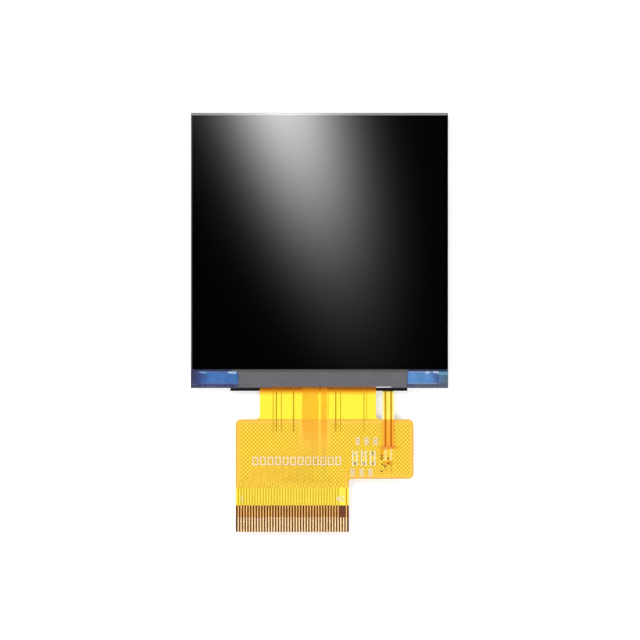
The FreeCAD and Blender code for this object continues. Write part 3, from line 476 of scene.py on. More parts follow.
def ledge_finish(panel):
    """Rear glass: dark purple-grey ledge with fine slanting metal lines, a pale foot and thin resin."""
    finish = Finish("rear_glass", IOR=1.52, Specular_IOR_Level=0.3)
    x, y, _ = finish.axes()
    low, high = REAR_GLASS
    step = FRONT_GLASS[0].y
    tape_side = GREY_TAPE[1].x
    base = panel.ledge
    lines = finish.axes(finish.place(turn=32))[0].wave(0.22, "SINE") * 0.5 + 0.5
    mottle = finish.noise(1.6, 4.0).rise(0.35, 0.7)
    lower_right = x.rise(tape_side - 1, tape_side + 3) * y.rise(step - 1.8, step - 2.1)
    # Resin runs out thin past the right sealant's end, with a glint along the step up to the front glass.
    end, foot = RESIN_RIGHT[1].x, RESIN_RIGHT[0].y
    thin = x.rise(end - 0.2, end + 0.1) * y.rise(foot, foot + 0.3) * y.rise(step + 0.3, step + 0.1)
    run_out = (x + mottle).rise(end, end + 2.2).blend(*RUN_OUT)
    glint = (y - mottle * 0.2).rise(step - 0.75, step - 0.45) * x.rise(high.x - 0.02, high.x - 0.25)
    ground = mottle.blend(shade(base, 0.3), base)
    for share, tint in (
        (lines * 0.25, shade(base, 1.5)),
        (y.rise(low.y + 0.3, low.y + 0.1) * 0.75, LEDGE_FOOT),
        (abs(x).rise(high.x - 0.9, high.x - 0.2) * 0.5, LEDGE_SIDES),
        (y.rise(step, step + 0.4), mottle.blend(*CELL_EDGE)),
        (lower_right * 0.8, LEDGE_LOWER_RIGHT),
        (thin, glint.blend(run_out, RUN_OUT_GLINT)),
    ):
        ground = share.blend(ground, tint)
    return finish.surface(ground, 0.25 + mottle * 0.15, lines, 0.004)


def sealant_finish(name, tint, thin_tint, inner, outer, glints):
    """Glossy blue resin that runs out thin and dark towards the panel's side.

    It has glints along its upper edge, each a middle, a half width and a tint.
    """
    finish = Finish(name, IOR=1.48, Coat_Weight=1.0, Coat_Roughness=0.05, Roughness=0.22)
    x, y, _ = finish.axes()
    wander = finish.noise(0.7, 4.0)
    blue = wander.rise(0.35, 0.65).blend(shade(tint, 0.82), tint)
    blue = (x + (wander - 0.5) * 2.5).rise(inner, outer).blend(blue, thin_tint)
    top = FRONT_GLASS[0].y
    near_top = (y + (finish.noise(2.2) - 0.5) * 0.5).rise(top - 0.5, top - 0.2)
    for middle, half_width, glint_tint in glints:
        glint = abs(x - middle).rise(half_width, half_width * 0.5) * near_top
        blue = (glint * 0.85).blend(blue, glint_tint)
    return finish.surface(blue, height=finish.noise(1.1, 3.0), depth=0.09)


def tape_finish(panel):
    """Dull grey tape, faintly woven. At its foot the amber film shows in painted shade, and the frame's white
    edge shows.
    """
    finish = Finish("grey_tape", Specular_IOR_Level=0.3)
    x, y, _ = finish.axes()
    weave = x.wave(0.16, "SINE") * y.wave(0.16, "SINE") * 0.5 + 0.5
    wander = finish.noise(1.0, 3.0, (0.4, 1, 1)).rise(0.3, 0.7)
    base = panel.grey_tape
    low = GREY_TAPE[0].y
    lead_low, lead_high = LEAD_SIDES
    # Painted shade: the tape's foot takes the dark amber of the film in the tape's shadow.
    amber = y.rise(low + 0.3, low) * x.rise(POLARIZER[0].x * 0.45, -7)
    amber = amber * x.rise(lead_low - 0.8, lead_low - 1.4)
    # The frame's white edge shows as a thin line under the tape beside the lamp lead.
    white = x.rise(lead_low - 1.3, lead_low - 1.0) * x.rise(lead_high - 0.4, lead_high - 0.7)
    white = white * y.rise(low + 0.16, low + 0.08)
    tint = wander.blend(shade(base, 0.93), shade(base, 1.05))
    for share, other in ((weave * 0.12, shade(base, 0.6)), (amber, SHADED_AMBER_FOOT), (white, FRAME_EDGE)):
        tint = share.blend(tint, other)
    return finish.surface(tint, 0.5 + wander * 0.12, weave, 0.006)


def mesh_bars(finish, tail):
    """1 on a line of the slanting ground mesh and 0 in its holes."""
    pitch = tail.mesh_pitch / MM
    across, along, _ = finish.axes(finish.place(turn=45))
    return across.wave(pitch).most(along.wave(pitch)).rise(0.1, 0.9)


def film_depth(x, y):
    """How far a point lies inside the outline of the tail below its neck."""
    low, high = TAIL
    below_neck = TAIL_HEAD - y
    column = (x - low.x).least(STIFFENER[1].x - x, below_neck)
    row = (x - low.x).least(high.x - x, y - WIDE_FOOT, below_neck)
    return column.most(row)


def crowded_share(x, y):
    """1 where the conductors crowd together, and 0 away from there."""
    left, right, foot, head = CROWDED
    return x.past(left, 0.2).least(x.short_of(right, 0.2), y.past(foot, 0.2), y.short_of(head, 0.2))


def film_zones(finish, tail, backed_film):
    """The amber film's colour: neck, ground mesh, conductors and stiffener, from the top down."""
    x, y, _ = finish.axes()
    tape_foot = LEDGE_TAPE[0].y
    mesh_foot = MESH[0].y
    film = finish.noise(0.35, 3.0).rise(0.35, 0.65).blend(shade(tail.film, 0.97), tail.film)
    for middle in FAINT_LINES:
        film = (abs(x - middle).rise(0.12, 0.04) * 0.6).blend(film, tail.conductor_line)
    # Painted shade below the tape's foot: the film turns dark brown over the black tape and passes through
    # orange to yellow.
    film = y.rise(tape_foot - 0.95, tape_foot + 0.35).blend(film, tail.half_shaded_film)
    film = y.rise(tape_foot - 0.35, tape_foot + 0.75).blend(film, tail.shaded_film)
    film = y.rise(mesh_foot + 0.4, mesh_foot).blend(film, tail.conductor_film)
    depth = film_depth(x, y)
    bars = mesh_bars(finish, tail)
    border = TAIL_HEAD - MESH[1].y + tail.mesh_border / MM
    mesh = bars.blend(tail.mesh_film, tail.mesh_line)
    mesh = depth.short_of(border, 0.1).blend(mesh, tail.mesh_edge)
    # Painted shade: a darker line along the film's outline round the wide part and along the mesh's top.
    mesh = depth.rise(0.2, 0.08).blend(mesh, shade(tail.mesh_line, 0.85))
    middle, half_width, foot, head = FAN
    fan = abs(x - middle).rise(half_width, half_width * 0.7) * y.rise(foot, head)
    mesh = (fan * 0.8).blend(mesh, tail.fan)
    for spot_x, spot_y, half_width, half_length in FLUX_SPOTS:
        aside, along = (x - spot_x) / half_width, (y - spot_y) / half_length
        mesh = ((aside * aside + along * along).rise(1.3, 0.4) * 0.75).blend(mesh, tail.flux)
    film = (depth.past(0, 0.04) * y.past(mesh_foot, 0.1)).blend(film, mesh)
    return y.short_of(BACKED).blend(film, backed_film), bars


def contact_wave(x):
    """A wave across the contacts: 1 on the middle of each and -1 midway between two."""
    return (x - (FINGERS[0].x + CONTACT_WIDTH / 2)).wave(CONTACT_PITCH)


def unused_contacts(x):
    """1 over the contacts that have no conductor, and 0 beside them."""
    high = FINGERS[1].x - (CONTACT_WIDTH + CONTACT_PITCH) / 2
    low = high - UNUSED_CONTACTS * CONTACT_PITCH
    return x.past(low, 0.03) * x.short_of(high, 0.03)


def covered_copper(finish, tail, film):
    """Film with the contacts' conductors under it, from the bare contacts up to the ground mesh."""
    x, y, _ = finish.axes()
    left, right = FINGERS[0].x, FINGERS[1].x
    inside = x.rise(left - 0.1, left) * x.rise(right + 0.1, right) * (1 - unused_contacts(x))
    wave = contact_wave(x)
    slim = wave.rise(0.1, 0.5) * inside * y.rise(MESH[0].y, MESH[0].y - 0.1) * y.past(BACKED)
    wide = wave.rise(0.05, 0.65) * inside * y.short_of(BACKED)
    return wide.blend(slim.blend(film, tail.conductor_line), tail.backed_conductor)


def base_film_finish(tail):
    """The tail's base film."""
    finish = Finish("base_film", IOR=1.6, Specular_IOR_Level=0.12, Roughness=0.32)
    x, y, _ = finish.axes()
    unused = unused_contacts(x) * y.past(FINGERS[1].y)
    film, bars = film_zones(finish, tail, unused.blend(tail.backed_film, UNUSED_STIFFENER))
    return finish.surface(film, height=bars, depth=0.004)


def cover_film_finish(tail):
    """The tail's cover film: clear amber, so that the copper under it shows."""
    finish = Finish("cover_film", IOR=1.6, Specular_IOR_Level=0.18, Roughness=0.24, Alpha=0.18)
    film, bars = film_zones(finish, tail, tail.backed_cover)
    height = bars * 0.6 + finish.noise(0.6)
    return finish.surface(covered_copper(finish, tail, film), height=height, depth=0.01)


def conductor_finish(name, tail, plain, over_mesh):
    """Copper under film: dark over the light film, bright over the stiffener, faded where it crowds."""
    finish = Finish(name, IOR=1.5, Specular_IOR_Level=0.2)
    x, y, _ = finish.axes()
    wander = finish.noise(1.0, 2.0, (3, 0.5, 1)).rise(0.3, 0.7)
    copper = wander.blend(shade(plain, 0.95), plain)
    copper = y.rise(TAIL_HEAD, TAIL_HEAD - 6).blend(copper, over_mesh)
    copper = y.rise(MESH[0].y + 0.4, MESH[0].y - 0.2).blend(copper, tail.conductor_line)
    over_brown = contact_wave(x).rise(0.65, 0.05).blend(tail.backed_conductor, CONDUCTOR_SIDES)
    finish.drive("Alpha", 1 - crowded_share(x, y))
    return finish.surface(y.short_of(BACKED).blend(copper, over_brown), 0.38 + wander * 0.12)


def gold_finish(tail):
    """Plated contacts with faint lengthwise polishing lines, and painted shade on their rounded sides."""
    finish = Finish("contact_gold", Metallic=0.45, IOR=1.5, Specular_IOR_Level=0.3)
    streaks = finish.noise(1.0, 3.0, (9, 0.6, 1))
    wear = finish.noise(0.9, 4.0).rise(0.55, 0.7)
    gold = streaks.rise(0.3, 0.7).blend(shade(tail.gold, 0.86), tail.gold)
    gold = (wear * 0.35).blend(gold, WORN_GOLD)
    # Painted shade: each contact darkens towards its rounded sides, into the brown of the gaps.
    sides = contact_wave(finish.axes()[0]).rise(0.4, -0.25)
    return finish.surface(sides.blend(gold, GOLD_SHADED_SIDES), 0.34 + streaks * 0.16, streaks, 0.004)


def lead_finish(tail):
    """The lamp lead's film: pale where it is free, orange where it lies on the tail, with cream edges."""
    finish = Finish("lead_film", IOR=1.6, Specular_IOR_Level=0.45, Roughness=0.3)
    x, y, _ = finish.axes()
    low, high = LEAD_SIDES
    foot, tape_foot = LEAD[0].y, LEDGE_TAPE[0].y
    free = finish.noise(0.8, 3.0).rise(0.3, 0.7).blend(shade(tail.lead, 0.96), tail.lead)
    edge = x.rise(low + 0.22, low + 0.04).most(x.rise(high - 0.22, high - 0.04))
    free = (edge * 0.8).blend(free, LEAD_EDGE)
    lapped = y.rise(foot + 0.45, foot + 0.3).blend(tail.lapped_lead, LEAD_END)
    tint = y.short_of(TAIL_HEAD, 0.15).blend(free, lapped)
    # Painted shade where the lead runs under the tape's foot.
    tint = y.rise(tape_foot - 0.4, tape_foot + 0.3).blend(tint, tail.shaded_film)
    return finish.surface(tint, height=finish.noise(1.2), depth=0.01)


def lead_conductor_finish(tail):
    """The lamp lead's two conductors."""
    finish = Finish("lead_copper", Roughness=0.4, Specular_IOR_Level=0.1)
    wander = finish.noise(1.3, 3.0, (2, 0.7, 1)).rise(0.35, 0.65)
    lapped = finish.axes()[1].short_of(TAIL_HEAD, 0.15)
    base = lapped.blend(tail.lead_conductor, tail.lapped_conductor)
    return finish.surface((wander * 0.25).blend(base, shade(tail.lapped_conductor, 0.6)))


def ink_finish(name, tint):
    """Thin white print that lets some amber through."""
    return Finish(name, Alpha=0.85).mottled(tint, shade(tint, 0.82), 2.5, 0.002, (0.55, 0.75))


def tin_finish(name, tint, metallic=0.4):
    """Tinned copper and solder, dulled by flux."""
    return Finish(name, Metallic=metallic).mottled(tint, shade(tint, 0.62), 2.2, 0.012, (0.22, 0.5))


def lamp_pad_finish(tail):
    """Pads under the lead's joints: pale along the middle, and amber with flux at their sides."""
    finish = Finish("lamp_pads", Metallic=0.1, Roughness=0.35)
    low, high = LAMP_PADS[0].x, LAMP_PADS[1].x
    spread = (high - low) / 2 - LAMP_PAD_HALF
    off = abs(abs(finish.axes()[0] - (low + high) / 2) - spread)
    streaks = finish.noise(2.0, 3.0, (2, 0.7, 1)).rise(0.35, 0.65)
    pale = streaks.blend(shade(tail.pad, 0.85), tail.pad)
    sides = off.rise(LAMP_PAD_HALF * 0.35, LAMP_PAD_HALF * 0.9)
    return finish.surface(sides.blend(pale, PAD_SIDES), height=streaks, depth=0.006)


def steel_finish(panel):
    """Rolled steel: fine lines one way, a few dull stains."""
    finish = Finish("tray_steel", Metallic=1.0)
    lines = finish.noise(1.0, 4.0, (0.15, 12, 1))
    stains = finish.noise(0.08, 4.0).rise(0.45, 0.7)
    tint = lines.rise(0.35, 0.65).blend(shade(panel.steel, 0.86), panel.steel)
    tint = (stains * 0.4).blend(tint, shade(panel.steel, 0.72))
    return finish.surface(tint, 0.27 + lines * 0.1 + stains * 0.12, lines, 0.004)


def guide_finish():
    """Clear moulded plate with rows of light dots on its back."""
    finish = Finish("guide_plate", IOR=1.49, Roughness=0.12)
    dots = finish.node("ShaderNodeTexVoronoi", {}, {"Vector": finish.place(), "Scale": 2.2})
    spot = dots.rise(0.32, 0.2)
    return finish.surface(spot.blend(*GUIDE), height=spot, depth=0.01)


def prism_finish(name, turn):
    """Film with fine straight ribs."""
    finish = Finish(name, IOR=1.58, Roughness=0.2)
    rib = 0.025
    ribs = finish.math("PINGPONG", finish.axes(finish.place(turn=turn))[0], rib) / rib
    return finish.surface(ribs.blend(*PRISM), height=ribs, depth=0.02)


def plain_finish(name, base, dark, scale, relief, metallic, roughness):
    """A finish that only its shade, grain and gloss set apart."""
    return Finish(name, Metallic=metallic).mottled(colour(base), colour(dark), scale, relief, roughness)


def select(*pieces):
    """Select just these pieces. The first of them is the active one."""
    bpy.ops.object.select_all(action="DESELECT")
    for piece in pieces:
        piece.select_set(True)
    bpy.context.view_layer.objects.active = pieces[0]


def add(tool, **settings):
    """Add an object with one of Blender's tools."""
    bpy.ops.object.select_all(action="DESELECT")
    tool(**settings)
    return bpy.context.object


def edit(tool, **settings):
    """Run one edit mode tool on the active piece, on all of it."""
    bpy.ops.object.mode_set(mode="EDIT")
    bpy.ops.mesh.select_all(action="SELECT")
    tool(**settings)
    bpy.ops.object.mode_set(mode="OBJECT")


def hollow(piece, rim):
    """Take the middle out of a flat plate and leave a rim, whose width is in metres."""
    bpy.ops.object.mode_set(mode="EDIT")
    bpy.ops.mesh.select_mode(type="FACE")
    bpy.ops.mesh.select_all(action="DESELECT")
    bpy.ops.object.mode_set(mode="OBJECT")
    for face in piece.data.polygons:
        face.select = abs(face.normal.z) > 0.9
    bpy.ops.object.mode_set(mode="EDIT")
    bpy.ops.mesh.inset(thickness=rim, use_individual=True)
    bpy.ops.mesh.bridge_edge_loops()
    bpy.ops.object.mode_set(mode="OBJECT")
    return piece


def block(low, high):
    """A plate from corner to corner."""
    piece = add(bpy.ops.mesh.primitive_cube_add, size=1, location=(low + high) / 2 * MM)
    edit(bpy.ops.transform.resize, value=tuple((high - low) * MM))
    return piece


def join(pieces):
    """Make one piece of several."""
    select(*pieces)
    bpy.ops.object.join()
    return pieces[0]


def settle(piece, name, material, replaced=()):
    """Finish a piece: its place goes into its mesh, and it rides on the module."""
    select(piece)
    bpy.ops.object.transform_apply(location=True, rotation=True, scale=True)
    edit(bpy.ops.mesh.normals_make_consistent, inside=False)
    piece.name = name
    piece.data.name = name
    piece.data.materials.clear()
    piece.data.materials.append(material)
    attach(piece, "root")
    if replaced:
        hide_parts(*replaced)


def lettering(text, height, place, thickness):
    """Plain figures that stand on the film as a thin solid."""
    letters = add(bpy.ops.object.text_add, location=place * MM).data
    letters.body = text
    letters.align_x = "CENTER"
    letters.align_y = "CENTER"
    # A figure's height is this share of the letter size.
    letters.size = height * MM / 0.7
    letters.extrude = thickness * MM / 2
    letters.resolution_u = 3
    bpy.ops.object.convert(target="MESH")
    edit(bpy.ops.mesh.remove_doubles, threshold=0.002 * MM)
    return bpy.context.object


def mesh_border(tail):
    """The solid edge of the ground mesh: its plate with the middle taken out."""
    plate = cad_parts["ground_mesh"]
    piece = plate.copy()
    piece.data = plate.data.copy()
    piece.parent = None
    for key in list(piece.keys()):
        del piece[key]
    bpy.context.scene.collection.objects.link(piece)
    select(piece)
    edit(bpy.ops.mesh.remove_doubles, threshold=0.001 * MM)
    edit(bpy.ops.mesh.dissolve_limited, angle_limit=math.radians(1))
    return hollow(piece, tail.mesh_border)


def lattice_patch(tail, low, high):
    """A slanting grid with its cells opened, trimmed to a rectangle and given the copper's thickness."""
    pitch = tail.mesh_pitch
    diagonal = pitch * math.sqrt(2)
    size = (MESH[1] - MESH[0]) * MM
    cells = math.ceil((size.x + size.y) / diagonal) + 2
    cells += cells % 2
    piece = add(
        bpy.ops.mesh.primitive_grid_add, x_subdivisions=cells, y_subdivisions=cells, size=cells * pitch,
        rotation=(0, 0, math.radians(45)), location=(0, 0, MESH[0].z * MM),
    )
    bpy.ops.object.transform_apply(location=True, rotation=True, scale=True)
    middle_row = round((MESH[0].y + MESH[1].y) / 2 * MM / diagonal) * diagonal
    edit(bpy.ops.transform.translate, value=(0, middle_row, 0))
    bpy.ops.object.mode_set(mode="EDIT")
    bpy.ops.mesh.select_all(action="SELECT")
    bpy.ops.mesh.inset(thickness=tail.mesh_bar / 2, use_individual=True)
    bpy.ops.mesh.delete(type="FACE")
    for axis in (Vector((1, 0, 0)), Vector((0, 1, 0))):
        for corner, outward in ((low, -axis), (high, axis)):
            point = axis * axis.xy.dot(corner) * MM
            bpy.ops.mesh.select_all(action="SELECT")
            bpy.ops.mesh.bisect(plane_co=point, plane_no=outward, clear_outer=True)
    bpy.ops.object.mode_set(mode="OBJECT")
    thicken = piece.modifiers.new("copper", "SOLIDIFY")
    thicken.thickness = size.z
    thicken.offset = 1
    bpy.ops.object.modifier_apply(modifier=thicken.name)
    return piece


def ground_lattice(tail):
    """The crossed lines of the ground mesh, cut to the tail's outline, inside its solid edge."""
    border = mesh_border(tail)
    step = tail.mesh_border / MM * 0.8
    low, high = MESH
    # The plate ends this far inside the tail's outline, beside the contact tail and at the wide part's foot.
    margin = 0.3
    inner_x = STIFFENER[1].x - margin - step
    top = high.y - step
    left = lattice_patch(tail, Vector((low.x + step, low.y + step)), Vector((inner_x, top)))
    foot = WIDE_FOOT + margin + step
    right = lattice_patch(tail, Vector((inner_x, foot)), Vector((high.x - step, top)))
    return join([border, left, right])


def jumper_outlines(tail):
    """Two printed bars beside each jumper place."""
    aside, stroke = 0.39, 0.24
    foot, head = JUMPERS[0].y - 0.05, JUMPERS[1].y + 0.3
    top = FACE + tail.ink_thickness / MM
    bars = []
    for middle in JUMPER_MIDDLES:
        for left in (middle - aside - stroke / 2, middle + aside - stroke / 2):
            bars.append(block(Vector((left, foot, FACE)), Vector((left + stroke, head, top))))
    return join(bars)


def legend(tail):
    """The numbers of the first and last contact."""
    height = 1.1
    thickness = tail.ink_thickness / MM
    row = BACKED + 1.15
    marks = []
    for text, middle in (("1", FINGERS[0].x + 0.87), ("40", FINGERS[1].x - 1.3)):
        marks.append(lettering(text, height, Vector((middle, row, FACE + thickness / 2)), thickness))
    return join(marks)


def jumper_marks(tail):
    """Small blank marks over and under the jumper places: two hollow squares, one on the other."""
    side, stroke = 0.66, 0.17
    size = Vector((side, side, tail.ink_thickness / MM))
    # How far a row of marks stands to the right of the jumper places, and its foot.
    rows = ((0.5, JUMPERS[1].y + 1.3), (-0.4, JUMPERS[0].y - 1.95))
    marks = []
    for aside, foot in rows:
        for middle in JUMPER_MIDDLES:
            for step in range(2):
                start = Vector((middle + aside - side / 2, foot + step * side * 1.08, FACE))
                marks.append(hollow(block(start, start + size), stroke * MM))
    return join(marks)


def blank_boxes(tail):
    """A printed row of blank boxes, where a maker would mark the tail."""
    size = Vector((*BOX_SIZE, tail.ink_thickness / MM))
    boxes = []
    for index in range(BOX_COUNT):
        start = Vector((FINGERS[0].x + BOX_START + index * BOX_PITCH, JUMPERS[0].y + 0.05, FACE))
        boxes.append(hollow(block(start, start + size), BOX_STROKE * MM))
    return join(boxes)


def solder_dome(low, high):
    """A rounded blob of solder that fills a box from corner to corner."""
    middle, size = (low + high) / 2 * MM, (high - low) * MM
    foot = low.z * MM
    piece = add(
        bpy.ops.mesh.primitive_uv_sphere_add, segments=16, ring_count=10, radius=0.5,
        location=(middle.x, middle.y, foot),
    )
    edit(bpy.ops.transform.resize, value=(size.x, size.y, size.z * 2))
    edit(bpy.ops.mesh.bisect, plane_co=(0, 0, foot), plane_no=(0, 0, 1), clear_inner=True, use_fill=True)
    bpy.ops.object.shade_smooth_by_angle(angle=math.radians(50))
    return piece


def lead_joints():
    """The lamp lead's two solder joints: a smooth slope from its conductors down to the pads."""
    low, high = JOINTS
    width, rounding = 0.45, 0.07
    # The slope's foot is this share of the joint's height.
    foot_share = 0.12
    joints = []
    for left in (low.x, high.x - width):
        piece = block(Vector((left, low.y, low.z)), Vector((left + width, high.y, high.z)))
        for vertex in piece.data.vertices:
            if vertex.co.y < 0 and vertex.co.z > 0:
                vertex.co.z *= foot_share
        edit(bpy.ops.mesh.bevel, offset=rounding * MM, segments=3)
        bpy.ops.object.shade_smooth_by_angle(angle=math.radians(60))
        joints.append(piece)
    return join(joints)


def pad_solder():
    """Small domes of solder on some of the jumper pads."""
    low, high = JUMPERS
    size = Vector((0.3, 0.6, 0.09))
    left, middle, right = JUMPER_MIDDLES
    domes = []
    for x, foot in ((middle, low.y), (right, low.y), (right, high.y - size.y), (left, low.y)):
        start = Vector((x - size.x / 2, foot + 0.05, low.z + 0.03))
        domes.append(solder_dome(start, start + size))
    return join(domes)


def vias():
    """Plated holes beside the lamp pads, each a low dark disc."""
    low, high = LAMP_PADS
    radius, height = 0.16, 0.014
    discs = []
    for aside, along in HOLES:
        x = (low.x + high.x) / 2 if aside is None else low.x + aside
        discs.append(add(
            bpy.ops.mesh.primitive_cylinder_add, vertices=16, radius=radius * MM, depth=height * MM,
            location=Vector((x, low.y + along, FACE + height / 2)) * MM,
        ))
    return join(discs)


class DISPLAY_OT_finish_panel(bpy.types.Operator):
    """Finish the screen, its glasses, the ledge, the tapes, the tray and the frame"""

    bl_idname = "display.finish_panel"
    bl_label = "Finish the panel"

    def execute(self, context):
        panel = context.scene.display_panel
        dress("front_polarizer", screen_finish(panel))
        dress("color_filter_glass", rim_finish(panel))
        dress("array_glass", ledge_finish(panel))
        dress("driver_cover_tape", tape_finish(panel))
        end = panel.sealant_end
        outer, inner = RESIN_LEFT[0].x, RESIN_LEFT[1].x
        glints = ((outer + 1.2, 0.9, LEFT_GLINTS[0]), (inner - 1.1, 1.0, LEFT_GLINTS[1]))
        finished = sealant_finish("sealant_left", panel.sealant, end, outer + 3, outer, glints)
        dress("ledge_sealant_left", finished)
        inner, outer = RESIN_RIGHT[0].x, RESIN_RIGHT[1].x
        glints = ((inner + 3.6, 0.5, RIGHT_GLINT), (outer - 0.2, 1.0, RIGHT_GLINT))
        finished = sealant_finish("sealant_right", panel.sealant_light, end, outer - 2, outer + 1, glints)
        dress("ledge_sealant_right", finished)
        black = Finish("black_tape", Specular_IOR_Level=0.15)
        black.mottled(panel.black_tape, shade(panel.black_tape, 0.7), 1.5, 0.01, (0.5, 0.7))
        for node in ("ledge_tape", "rim_tape"):
            dress(node, black.material)
        dress("rear_bezel", steel_finish(panel))
        white = Finish("moulding", IOR=1.5)
        white.mottled(panel.moulding, shade(panel.moulding, 0.93), 0.6, 0.01, (0.4, 0.55))
        dress("backlight_frame", white.material)
        return {"FINISHED"}


class DISPLAY_OT_finish_inside(bpy.types.Operator):
    """Finish the light guide, its films, the lamps and the cell's inner pieces"""

    bl_idname = "display.finish_inside"
    bl_label = "Finish the inside"

    def execute(self, context):
        dress("light_guide_plate", guide_finish())
        dress("lower_prism_film", prism_finish("lower_prism_film", 0))
        dress("upper_prism_film", prism_finish("upper_prism_film", 90))
        for node, *look in PLAIN_PIECES:
            dress(node, plain_finish(*look))
        return {"FINISHED"}


class DISPLAY_OT_finish_tail(bpy.types.Operator):
    """Finish the tail's films, copper, contacts and stiffener, and the lamp lead"""

    bl_idname = "display.finish_tail"
    bl_label = "Finish the tail"

    def execute(self, context):
        tail = context.scene.display_tail
        dress("flex_base_film", base_film_finish(tail))
        dress("flex_cover_film", cover_film_finish(tail))
        dress("neck_traces", conductor_finish("neck_copper", tail, tail.conductor, tail.conductor))
        dress("contact_traces", conductor_finish("bundle_copper", tail, tail.bundle, tail.fan))
        dress("contact_fingers", gold_finish(tail))
        brown = Finish("stiffener_film", IOR=1.6)
        brown.mottled(STIFFENER_BROWN, shade(STIFFENER_BROWN, 0.75), 0.5, 0.004, (0.3, 0.42))
        dress("flex_stiffener", brown.material)
        dress("backlight_flex", lead_finish(tail))
        dress("backlight_traces", lead_conductor_finish(tail))
        dress("jumper_pads", tin_finish("tinned_copper", tail.pad))
        dress("lamp_pads", lamp_pad_finish(tail))
        return {"FINISHED"}


class DISPLAY_OT_model_lattice(bpy.types.Operator):
    """Model the open ground mesh behind the tail in place of its plate"""

    bl_idname = "display.model_lattice"
    bl_label = "Model the ground mesh"

    def execute(self, context):
        tail = context.scene.display_tail
        copper = Finish("mesh_copper", Metallic=0.5).mottled(*MESH_COPPER, 1.2, 0.003, (0.35, 0.5))
        dress("ground_mesh", copper)
        settle(ground_lattice(tail), "ground_lattice", copper, ("ground_mesh",))
        return {"FINISHED"}


class DISPLAY_OT_model_print(bpy.types.Operator):
    """Model the printed marks: pin numbers, figures, jumper bars and blank boxes"""

    bl_idname = "display.model_print"
    bl_label = "Model the print"

    def execute(self, context):
        tail = context.scene.display_tail
        ink = ink_finish("white_ink", tail.ink)
        bright = ink_finish("bright_ink", tail.bright_ink)
        settle(legend(tail), "printed_figures", bright)
        settle(jumper_outlines(tail), "printed_jumper_bars", bright)
        settle(jumper_marks(tail), "printed_jumper_marks", ink)
        settle(blank_boxes(tail), "printed_boxes", ink)
        return {"FINISHED"}


class DISPLAY_OT_model_solder(bpy.types.Operator):
    """Model the lamp lead's solder joints, the solder on the jumper pads and the plated holes"""

    bl_idname = "display.model_solder"
    bl_label = "Model the solder"

    def execute(self, context):
        tail = context.scene.display_tail
        solder = tin_finish("solder", tail.tin)
        fluxed = tin_finish("fluxed_solder", tail.fluxed_tin, 0.15)
        dress("solder_joints", fluxed)
        settle(lead_joints(), "lead_solder", fluxed, ("solder_joints",))
        settle(pad_solder(), "jumper_solder", solder)
        hole = plain_finish("plated_hole", "6b4a12", "3a2606", 5.0, 0.002, 0.2, (0.4, 0.6))
        settle(vias(), "plated_holes", hole)
        return {"FINISHED"}


class DISPLAY_OT_build_studio(bpy.types.Operator):
    """Set up the floor, the sky, the lamps and the camera"""

    bl_idname = "display.build_studio"
    bl_label = "Build the studio"

    def execute(self, context):
        studio = context.scene.display_studio
        context.scene.view_settings.view_transform = "Standard"
        floor(studio)
        sky(context.scene, studio)
        soft_lamp("key_lamp", studio.key_power, (-0.28, 0.30, 0.46), 0.30)
        soft_lamp("fill_lamp", studio.fill_power, (0.05, -0.22, 0.42), 0.16)
        streak_lamp(studio)
        context.scene.camera = camera(studio)
        return {"FINISHED"}


def aim():
    """The point of the tail's face that the photograph's middle shows, in metres."""
    middle = (Vector((PHOTO_SIDE / 2, PHOTO_SIDE / 2)) - ORIGIN_PIXEL) / PIXELS_PER_MM
    return Vector((middle.x, -middle.y, FACE)) * MM


def camera(studio):
    """A long lens that looks straight down, and frames what the photograph does."""
    height = studio.camera_height
    made = add(bpy.ops.object.camera_add, location=aim() + Vector((0, 0, height)), rotation=(0, 0, 0))
    made.name = "camera"
    width = PHOTO_SIDE / PIXELS_PER_MM * MM
    made.data.lens = made.data.sensor_width * height / width
    made.data.clip_start = 0.01
    made.data.clip_end = 10
    return made


def floor(studio):
    """A wide pale floor under the module. To the camera and in gloss it glows up to plain white."""
    piece = add(bpy.ops.mesh.primitive_plane_add, size=6, location=(0, 0, -0.02 * MM))
    piece.name = "floor"
    finish = Finish("floor", Roughness=0.9, Specular_IOR_Level=0.0, Emission_Strength=0.35)
    finish.shader.inputs["Base Color"].default_value = (*studio.floor, 1)
    seen, mirrored, through = (
        finish.node("ShaderNodeLightPath", out=f"Is {kind} Ray")
        for kind in ("Camera", "Glossy", "Transmission")
    )
    shown = seen.most(mirrored.most(through))
    finish.drive("Emission Color", shown.blend((0.0, 0.0, 0.0), (1.0, 1.0, 1.0)))
    piece.data.materials.append(finish.material)


def sky(scene, studio):
    """White low down all round and dark straight above, so that the screen stays black."""
    world = bpy.data.worlds.new("studio")
    world.use_nodes = True
    scene.world = world
    graph = Graph(world.node_tree)
    height = graph.axes(graph.node("ShaderNodeTexCoord", out="Generated"))[2]
    level = studio.sky - height.rise(0.55, 0.88) * (studio.sky - studio.zenith)
    background = world.node_tree.nodes["Background"]
    world.node_tree.links.new(level.socket, background.inputs["Strength"])
    background.inputs["Color"].default_value = (1, 1, 1, 1)


def soft_lamp(name, power, place, side):
    """A square lamp that faces the middle of the module, with its place and side in metres."""
    lamp = add(bpy.ops.object.light_add, type="AREA", location=place)
    lamp.name = name
    lamp.data.energy = power
    lamp.data.size = side
    lamp.rotation_euler = (aim() - Vector(place)).to_track_quat("-Z", "Y").to_euler()
    lamp.visible_camera = False


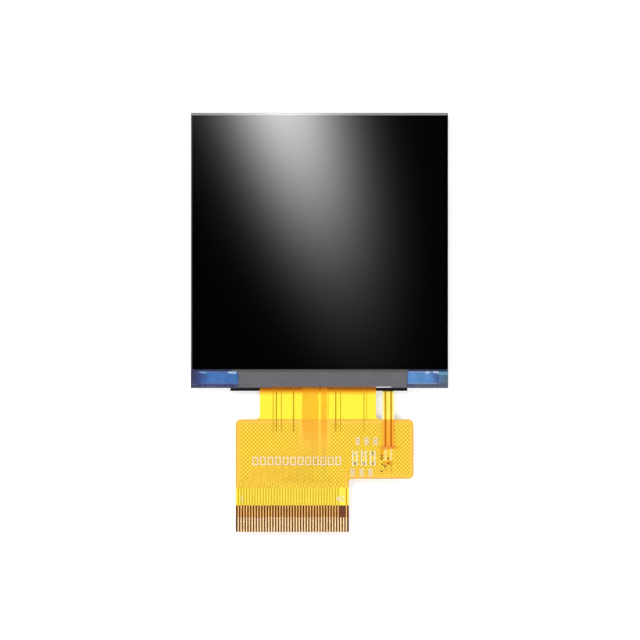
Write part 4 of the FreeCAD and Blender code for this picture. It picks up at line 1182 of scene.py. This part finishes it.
def streak_lamp(studio):
    """A narrow lamp at the camera's height, mirrored by the screen as a soft slanting streak."""
    # A lamp as high as the camera lies twice as far out as its reflection, and is twice as large.
    target = aim().xy
    middle = target + (STREAK_MIDDLE * MM - target) * 2
    across, along = STREAK_ACROSS * 2, STREAK_ALONG * 2
    place = (*middle, FACE * MM + studio.camera_height)
    lamp = add(bpy.ops.mesh.primitive_plane_add, size=1, location=place)
    lamp.name = "streak_lamp"
    # The plane is so large that the glow has died away at its edges.
    edit(bpy.ops.transform.resize, value=(12 * across * MM, 7 * along * MM, 1))
    material = bpy.data.materials.new("streak_glow")
    material.use_nodes = True
    tree = material.node_tree
    graph = Graph(tree)
    x, y, _ = graph.axes()
    aside, down = (x - y * STREAK_SLANT) / across, y / along
    glow = graph.math("EXPONENT", (aside * aside + down * down) * -0.5)
    tree.nodes.remove(tree.nodes["Principled BSDF"])
    shine = graph.node("ShaderNodeEmission", {}, {"Strength": glow * studio.streak})
    tree.links.new(shine.socket, tree.nodes["Material Output"].inputs["Surface"])
    lamp.data.materials.append(material)
    lamp.visible_camera = False
    lamp.visible_shadow = False
    lamp.visible_diffuse = False


class DISPLAY_PT_finish(bpy.types.Panel):
    """Sidebar panel with the module's settings and steps"""

    bl_idname = "DISPLAY_PT_finish"
    bl_label = "Display Module"
    bl_space_type = "VIEW_3D"
    bl_region_type = "UI"
    bl_category = "Display Module"

    def draw(self, context):
        scene = context.scene
        for group in (scene.display_panel, scene.display_tail, scene.display_studio):
            box = self.layout.box()
            for name in group.bl_rna.properties.keys():
                if name not in ("rna_type", "name"):
                    box.prop(group, name)
        for step in STEPS:
            self.layout.operator(step.bl_idname)


STEPS = (
    DISPLAY_OT_finish_panel,
    DISPLAY_OT_finish_inside,
    DISPLAY_OT_finish_tail,
    DISPLAY_OT_model_lattice,
    DISPLAY_OT_model_print,
    DISPLAY_OT_model_solder,
    DISPLAY_OT_build_studio,
)
CLASSES = (PanelFinish, TailFinish, StudioLight, *STEPS, DISPLAY_PT_finish)


def register():
    """Register the classes and hang the settings on the scene."""
    for each in CLASSES:
        bpy.utils.register_class(each)
    bpy.types.Scene.display_panel = bpy.props.PointerProperty(type=PanelFinish)
    bpy.types.Scene.display_tail = bpy.props.PointerProperty(type=TailFinish)
    bpy.types.Scene.display_studio = bpy.props.PointerProperty(type=StudioLight)


def unregister():
    """Take the settings and the classes away again."""
    del bpy.types.Scene.display_panel
    del bpy.types.Scene.display_tail
    del bpy.types.Scene.display_studio
    for each in reversed(CLASSES):
        bpy.utils.unregister_class(each)


def main():
    """Run every step in order."""
    register()
    for step in STEPS:
        category, name = step.bl_idname.split(".")
        getattr(getattr(bpy.ops, category), name)()


if __name__ == "__main__":
    main()
